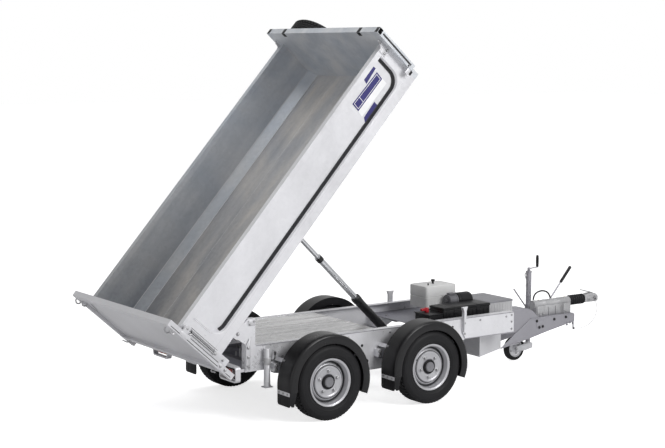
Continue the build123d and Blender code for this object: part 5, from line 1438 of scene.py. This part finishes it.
class TRAILER_OT_coupling(bpy.types.Operator):
    """Drawbar fittings, cast overrun housing, bellows, coupling head, its handle and the handbrake"""
    bl_idname = "trailer.coupling"
    bl_label = "Coupling"

    def execute(self, context):
        z = 505
        rear, front = REAR_AXLE + 2680, REAR_AXLE + 3110
        tube = end_on(rear, 0, z)
        housing = Form()
        housing.turned(tube, [(30, 0), (35, 0), (38, 3.5), (38, 30), (35.5, 33),
                              (35.5, 120), (37, 124), (37, 140), (35.5, 144), (35.5, 290),
                              (37.5, 294), (38, 300), (38, 424), (36, 429), (25.6, 430),
                              (25.6, 385)], 48, closed=True)
        housing.turned(tube, [(0, 1), (30, 1), (30, 384), (0, 384)], 32)
        for x in (rear + 60, front - 60):
            housing.block(level(x, 0, 449.9), (88, 108, 89.6), bevel=6)
        web = [(rear + 12, 405.4), (front - 12, 405.4), (front - 12, 494), (rear + 12, 494)]
        housing.plate(side_on(y=42), web, 84, bevel=5)
        for x in (rear + 160, rear + 240, rear + 310):
            for side in SIDES:
                housing.plate(side_on(x, side * 41.8, 406), [(-4, 0), (4, 0), (4, 74), (-4, 74)],
                              -side * 8.5, bevel=2)
        housing.piece("overrun_casting", "chassis", "casting", ("overrun_housing",))
        caps = Form()
        for x in (rear + 70, front - 50):
            caps.turned(level(x, 0, z), [(0, 36), (4.5, 36), (4.5, 37.5), (3.5, 41), (0, 41.2)], 16)
        caps.piece("grease_nipples", "chassis", "yellow_zinc")

        bellows = Form()
        length = 179.4
        ribs, points = 7, [(25.6, 0)]
        for i in range(ribs * 8 + 1):
            t = i / (ribs * 8)
            points.append((40 - 5.8 * cos(2 * pi * ribs * t), t * length))
        points.append((25.6, length))
        bellows.turned(end_on(front + 0.3, 0, z), points, 56, closed=True)
        bellows.piece("bellows_folds", "chassis", "rubber", ("coupling_bellows",), 60.0)

        # pressed coupling head: skinned over rounded sections
        start = REAR_AXLE + 3290
        head = Form()
        rings = []
        for dx, low, high, half, radius in (
                (0, -30, 32, 30, 12), (3, -33, 35, 33, 12), (50, -34, 45, 34, 14),
                (80, -35, 47, 35, 18), (110, -35.5, 45.5, 36, 18), (135, -36, 40, 36, 18),
                (150, -34, 28, 34, 14), (160, -28, 18, 29, 10), (166.5, -24, 6, 21, 6)):
            centre = (low + high) / 2
            rings.append([(start + dx, y, z + centre + h) for y,
                          h in rounded(2 * half, high - low, radius, 5)])
        head.skin(Matrix(), rings)
        head.turned(tube, [(0, 386), (25, 386), (25, 640), (0, 640)], 40)
        for side in SIDES:
            head.plate(side_on(y=side * 35.5, z=z), [
                (start + 30, -24), (start + 120, -26), (start + 132, -10), (start + 120, 20),
                (start + 60, 26), (start + 30, 16)], -side * 2.5, lift=side * 2, bevel=1)
        head.piece("coupling_head_pressing", "chassis", "casting", ("coupling_head",), 45.0)
        handle = Form()
        path = [(112, 47.5), (96, 50.5), (70, 56), (40, 64), (5, 74), (-24, 81.5),
                (-31, 80)]
        rings = []
        for index, (dx, dz) in enumerate(path):
            half = (12, 13.8, 13.8, 12.5, 11.5, 12, 9)[index]
            thick = (1, 3.2, 4.8, 5, 4.8, 4.4, 2.2)[index]
            rings.append([(start + dx, y, z + dz + h) for y,
                          h in rounded(2 * half, 2 * thick, thick * 0.9, 4)])
        handle.skin(Matrix(), rings)
        handle.piece("coupling_grip", "chassis", "casting", ("coupling_handle",), 45.0)
        places = [outward(s, start + x, 38, z + h) for s in SIDES for x, h in ((45, -10), (105, 4))]
        places += [outward(s, x, 54.5, 425) for s in SIDES for x in (rear + 40, rear + 80, front - 80)]
        fasteners("coupling_bolts", "chassis", places, head=8.5, height=7, washer=11)

        # fittings on the drawbar: pivot bolts, slot, cable hooks, edge folds
        bar, black, hooks, dark = Form(), Form(), Form(), []
        for side in SIDES:
            y = side * 91.5
            outline = [(REAR_AXLE + 2245, 186), (REAR_AXLE + 2583, 236), (REAR_AXLE + 2755, 271),
                       (REAR_AXLE + 3101, 334)]
            bar.pipe(Matrix(), [(x, y, h) for x, h in outline], 2.6, 8)
            outline = [(REAR_AXLE + 2250, 186), (REAR_AXLE + 2580, 401), (REAR_AXLE + 3090, 403)]
            bar.pipe(Matrix(), [(x, y, h) for x, h in outline], 2.6, 8)
            bar.plate(side_on(y=side * 91), rounded(90, 62, 10, 4, (REAR_AXLE + 2700, 345)), -side * 3,
                      bevel=1)
            dark += [outward(side, REAR_AXLE + x, 94.2, h) for x, h in ((2682, 318), (2722, 322))]
            dark += [outward(side, REAR_AXLE + 2655, 92, 376)]
            dark += [outward(side, REAR_AXLE + x, 92, h) for x, h in ((2860, 372), (3000, 378))]
        # small hooks under the bar for the cable and lead
        for x, drop in ((3010, 36), (3046, 20), (3080, 30)):
            top = 336
            hooks.pipe(Matrix(), [(REAR_AXLE + x, -88, top), (REAR_AXLE + x, -89, top - drop * 0.6),
                                  (REAR_AXLE + x + 4, -89, top - drop), (REAR_AXLE + x + 12, -89, top - drop),
                                  (REAR_AXLE + x + 16, -89, top - drop * 0.7)], 4.5, 10)
        black.turned(side_on(REAR_AXLE + 3093, -97.2, 268), [
            (0, 0), (9, 0), (9, 3), (5, 6), (0, 6)], 20)
        bar.piece("drawbar_folds", "chassis", "zinc_dull")
        hooks.piece("drawbar_hooks", "chassis", "zinc_dark", slotted=False)
        black.piece("cable_anchor", "chassis", "black_bolt_and_painted_shade")
        fasteners("drawbar_bolts", "chassis", dark, "black_bolt_and_painted_shade", head=9.5, height=7, washer=13)

        # handbrake: lever on its sector plate, moulded grip and release button
        foot = Vector((REAR_AXLE + 2850, 50, 430))
        tip = Vector((REAR_AXLE + 3180, 50, 800))
        lever = along(foot, tip)
        reach = (tip - foot).length
        rod, grip, sector = Form(), Form(), Form()
        rod.turned(lever, [(0, 0), (6.8, 0), (6.8, reach - 170), (0, reach - 170)], 24)
        rod.turned(lever, [(0, 30), (11, 30), (12, 36), (9, 60), (0, 62)], 24)
        points = [(0, reach - 180), (10, reach - 180), (11.8, reach - 176)]
        for i in range(9):
            at = reach - 166 + i * 16
            points += [(13.8, at), (14, at + 6), (12.6, at + 9), (12.6, at + 12)]
        points += [(13.8, reach - 18), (13.8, reach - 8), (10, reach - 1), (0, reach - 0.2)]
        grip.turned(lever, points, 28)
        sector.plate(side_on(y=50.5), [(foot.x + x, foot.z + h) for x, h in (
            [(-34, -22), (50, -22)] + arc(62, 10, 100, 10) + [(-34, 20)])], -6, bevel=1)
        rod.piece("handbrake_rod", "chassis", "zinc_dull", ("handbrake",))
        grip.piece("handbrake_grip", "chassis", "rubber")
        sector.piece("handbrake_sector", "chassis", "zinc_dull")
        fasteners("handbrake_pivot", "chassis", [(Vector((foot.x, 56.5, foot.z)), (0, 1, 0))], head=10,
                  height=7,
                  washer=14)
        return {"FINISHED"}


class TRAILER_OT_jockey_wheel(bpy.types.Operator):
    """Jockey wheel: tyre, pressed rim, fork, crank with its grip, spring clip and knob"""
    bl_idname = "trailer.jockey_wheel"
    bl_label = "Jockey wheel"

    def execute(self, context):
        x, y = REAR_AXLE + 2755, 134
        axle = outboard(x - 165, y, 105, 1)
        tyre, rim = Form(), Form()
        half = [(105, 0), (104.8, 12), (103.5, 19), (100.5, 24), (96, 27), (90, 28),
                (82, 27.6), (76, 26.2), (73.5, 24), (72, 20)]
        tyre.turned(axle, both_faces(half), 72, closed=True)
        tyre.piece("jockey_tyre", "jockey_wheel", "tyre", ("jockey_wheel",), 40.0)
        half = [(72.2, 0), (72.2, 20), (73.8, 24), (73.8, 26.2), (70, 26.2), (68, 22.5),
                (64, 15), (56, 11), (44, 10), (34, 12), (30, 18), (22, 27),
                (13, 27.5), (8.1, 27.5)]
        rim.turned(axle, half + [(r, -h) for r, h in half[::-1][:-1]], 56, closed=True)
        rim.piece("jockey_rim", "jockey_wheel", "zinc_fitting", crease=34.0)
        places = []
        for sign in SIDES:
            facing = Vector((0, sign, 0))
            for i in range(4):
                a = 0.4 + i * pi / 2
                places.append((axle.translation + Vector((50 * cos(a), sign * 10.6, 50 * sin(a))), facing))
        fasteners("jockey_rim_bolts", "jockey_wheel", places, head=6.5, height=5, washer=9, stud=4)
        places = [(axle.translation + Vector((0, s * 37.2, 0)), (0, s, 0)) for s in SIDES]
        fasteners("jockey_axle_nuts", "jockey_fork", places, head=11, height=7, washer=14)
        fork = Form()
        for s in SIDES:
            fork.plate(side_on(x - 60, y + s * 37.2, 112), rounded(110, 30, 12, 4), -s * 1.4, bevel=0.4)
        fork.piece("jockey_fork_pressings", "jockey_fork", "zinc_fitting")

        post, arm, grip, black, clip = Form(), Form(), Form(), Form(), Form()
        up = level(x, y, 0)
        post.turned(up, [(24.1, 770), (26.2, 771.5), (26.8, 776), (26.2, 783.5), (20, 785.2),
                         (20, 784.6), (24.1, 784)], 40, closed=True)
        for h in (482, 560):
            post.turned(up, [(24.1, h), (25.8, h + 1.5), (25.8, h + 6.5), (24.1, h + 8)], 40, closed=True)
        post.block(level(x, y - 25.5, 640), (14, 3, 110), bevel=1)
        post.piece("jockey_tube_rings", "chassis", "zinc_dull")
        clip.pipe(Matrix(), [(x - 24, y - 6, 700), (x - 36, y - 6, 716), (x - 50, y - 6, 752),
                             (x - 46, y - 6, 772), (x - 36, y - 6, 766), (x - 30, y - 6, 740)], 4, 10)
        clip.pipe(Matrix(), [(x - 24, y - 6, 600), (x - 32, y - 6, 620), (x - 36, y - 6, 665),
                             (x - 26, y - 6, 690)], 3.6, 10)
        clip.piece("jockey_spring_clip", "chassis", "bolt")
        # crank: hub, arm with an easy double bend, upright grip
        arm.turned(up, [(0, 785.4), (9, 785.4), (12.5, 788), (12.5, 813), (9.5, 816), (0, 816)], 28)
        rings = []
        for dx, dz, half_w, half_t in ((-9, 806, 7.8, 3.6), (20, 806.5, 8, 3.8),
                                       (45, 808.5, 7.2, 3.8), (65, 810.5, 7, 3.8),
                                       (90, 811.2, 7.8, 3.6), (109, 811.2, 7, 3.2)):
            rings.append([(x + dx, y + yy, dz + zz) for yy,
                          zz in rounded(2 * half_w, 2 * half_t, half_t * 0.9, 4)])
        arm.skin(Matrix(), rings)
        arm.piece("jockey_crank_arm", "chassis", "zinc_dull", ("jockey_crank",))
        grip.turned(level(x + 100, y, 0), [(0, 815), (9, 815), (11.8, 817.5), (12.6, 826),
                                             (11.6, 830), (13, 850), (12.8, 890), (11.2, 912),
                                             (8.5, 919), (0, 919.8)], 28)
        grip.piece("jockey_crank_grip", "chassis", "rubber")
        knob = side_on(x - 15, 0, 462)
        black.turned(knob, [(0, -91.2), (12.5, -91.2), (16, -88), (15, -84), (16, -80),
                            (15, -76), (16, -72), (15, -67), (12, -62), (0, -61.2)], 24)
        black.piece("jockey_knob_grip", "chassis", "black", ("jockey_knob",))
        return {"FINISHED"}


class TRAILER_OT_lamps(bpy.types.Operator):
    """Rear lamps: housings, ribbed lenses and screws"""
    bl_idname = "trailer.lamps"
    bl_label = "Lamps"

    def execute(self, context):
        back, lamp_y, lamp_z = REAR_AXLE - 704.3, 516, 412
        body, red, smoke, amber, places = Form(), Form(), Form(), Form(), []
        for side in SIDES:
            y = side * lamp_y
            look = axes((back, y, lamp_z), (0, -1, 0), (0, 0, 1))
            body.plate(look, rounded(164, 66, 10, 5), 20, bevel=3)
            red.plate(look, rounded(82, 58, 6, 4, (side * -12, 0)), 33.5, bevel=5, segments=3)
            smoke.plate(look, rounded(32, 58, 6, 4, (side * -62, 0)), 32, bevel=5, segments=3)
            amber.plate(look, rounded(46, 58, 6, 4, (side * 54.5, 0)), 32, bevel=5, segments=3)
            places += [(Vector((back - 32.5, y + side * dy, lamp_z + dz)), (-1, 0, 0))
                       for dy, dz in ((60, 18), (-60, -18))]
        body.piece("lamp_housings", "chassis", "black", ("rear_lamps",))
        red.piece("lamp_lenses_red", "chassis", "lens_red", crease=40.0)
        smoke.piece("lamp_lenses_smoke", "chassis", "lens_dark", crease=40.0)
        amber.piece("lamp_lenses_amber", "chassis", "lens_amber", crease=40.0)
        fasteners("lamp_screws", "chassis", places, head=3.2, height=0.8, washer=3.8, stud=0.3)
        hoops = Form()
        for side in SIDES:
            for x in (REAR_AXLE - 705, REAR_AXLE - 739):
                hoop = [(x, side * lamp_y + yy, lamp_z + zz) for yy, zz in rounded(230, 114, 22, 5)]
                hoops.pipe(Matrix(), hoop, 3, 8, closed=True)
        hoops.piece("lamp_hoops", "chassis", "zinc_fitting")
        return {"FINISHED"}


class TRAILER_OT_stage(bpy.types.Operator):
    """Floor, lamps and world of the studio"""
    bl_idname = "trailer.stage"
    bl_label = "Studio"

    def execute(self, context):
        settings = context.scene.trailer
        scene = context.scene
        mesh = bpy.data.meshes.new("Floor")
        half = 60.0
        mesh.from_pydata([(x, y, settings.floor_level) for x,
                          y in ((-half, -half), (half, -half), (half, half),
                                                                    (-half, half))], [], [(0, 1, 2, 3)])
        floor = bpy.data.objects.new("Floor", mesh)
        scene.collection.objects.link(floor)
        s = Surface("Floor_pale", (0.90, 0.90, 0.91), 0.8)
        rays = s.node("ShaderNodeLightPath")
        seen = Level(s, rays.outputs["Is Camera Ray"])
        glow = s.node("ShaderNodeEmission", {}, {"Color": (1.0, 1.0, 1.0), "Strength": 0.70})
        clear = s.node("ShaderNodeEmission", {}, {"Color": (1.0, 1.0, 1.0), "Strength": 0.0})
        pick = s.node("ShaderNodeMixShader", {}, {0: seen, 1: clear.outputs[0], 2: glow.outputs[0]})
        both = s.node("ShaderNodeAddShader", {}, {0: s.shader.outputs[0], 1: pick.outputs[0]})
        s.feed(s.tree.nodes["Material Output"].inputs["Surface"], both.outputs[0])
        mesh.materials.append(s.material)

        world = bpy.data.worlds.new("Studio")
        world.use_nodes = True
        sky = Network(world.node_tree)
        rays = sky.node("ShaderNodeLightPath")
        direct = (Level(sky, rays.outputs["Is Camera Ray"]) + Level(sky, rays.outputs["Is Glossy Ray"]) * 0.5
                  + Level(sky, rays.outputs["Is Transmission Ray"])).clamp()
        back = world.node_tree.nodes["Background"]
        sky.feed(back.inputs["Color"], (1.0, 1.0, 1.0))
        sky.feed(back.inputs["Strength"], direct * 0.66 + 0.34)
        scene.world = world
        for name, place, size, power, aim in (
                ("Key", (2.0, -8.5, 6.0), 4.0, 560.0, (0, 0, 0.9)),
                ("Top", (-0.5, 0.5, 9.0), 6.0, 260.0, (0, 0, 0.5)),
                ("Rear", (-9.0, -3.0, 3.0), 5.0, 60.0, (0, 0, 1.0))):
            data = bpy.data.lights.new(name, "AREA")
            data.size = size
            data.energy = power
            lamp = bpy.data.objects.new(name, data)
            scene.collection.objects.link(lamp)
            lamp.location = place
            lamp.rotation_mode = "QUATERNION"
            lamp.rotation_quaternion = (Vector(aim) - Vector(place)).to_track_quat("-Z", "Y")
        scene.view_settings.view_transform = "Standard"
        return {"FINISHED"}


class TRAILER_PT_panel(bpy.types.Panel):
    """Sizes, colours and steps of the trailer"""
    bl_idname = "TRAILER_PT_panel"
    bl_label = "Trailer"
    bl_space_type = "VIEW_3D"
    bl_region_type = "UI"
    bl_category = "Trailer"

    def draw(self, context):
        for name in TrailerSettings.__annotations__:
            self.layout.prop(context.scene.trailer, name)
        for step in STEPS:
            self.layout.operator(step.bl_idname)


STEPS = (
    TRAILER_OT_camera, TRAILER_OT_surfaces, TRAILER_OT_cords, TRAILER_OT_tyres, TRAILER_OT_wheels,
    TRAILER_OT_mudguards, TRAILER_OT_running_gear, TRAILER_OT_chassis, TRAILER_OT_bed, TRAILER_OT_tailgate,
    TRAILER_OT_ram, TRAILER_OT_power_pack, TRAILER_OT_coupling, TRAILER_OT_jockey_wheel, TRAILER_OT_lamps,
    TRAILER_OT_stage,
)
CLASSES = (TrailerSettings, *STEPS, TRAILER_PT_panel)


def register():
    for cls in CLASSES:
        bpy.utils.register_class(cls)
    bpy.types.Scene.trailer = bpy.props.PointerProperty(type=TrailerSettings)


def unregister():
    del bpy.types.Scene.trailer
    for cls in reversed(CLASSES):
        bpy.utils.unregister_class(cls)


def main():
    register()
    for step in STEPS:
        group, name = step.bl_idname.split(".")
        getattr(getattr(bpy.ops, group), name)()


if __name__ == "__main__":
    main()
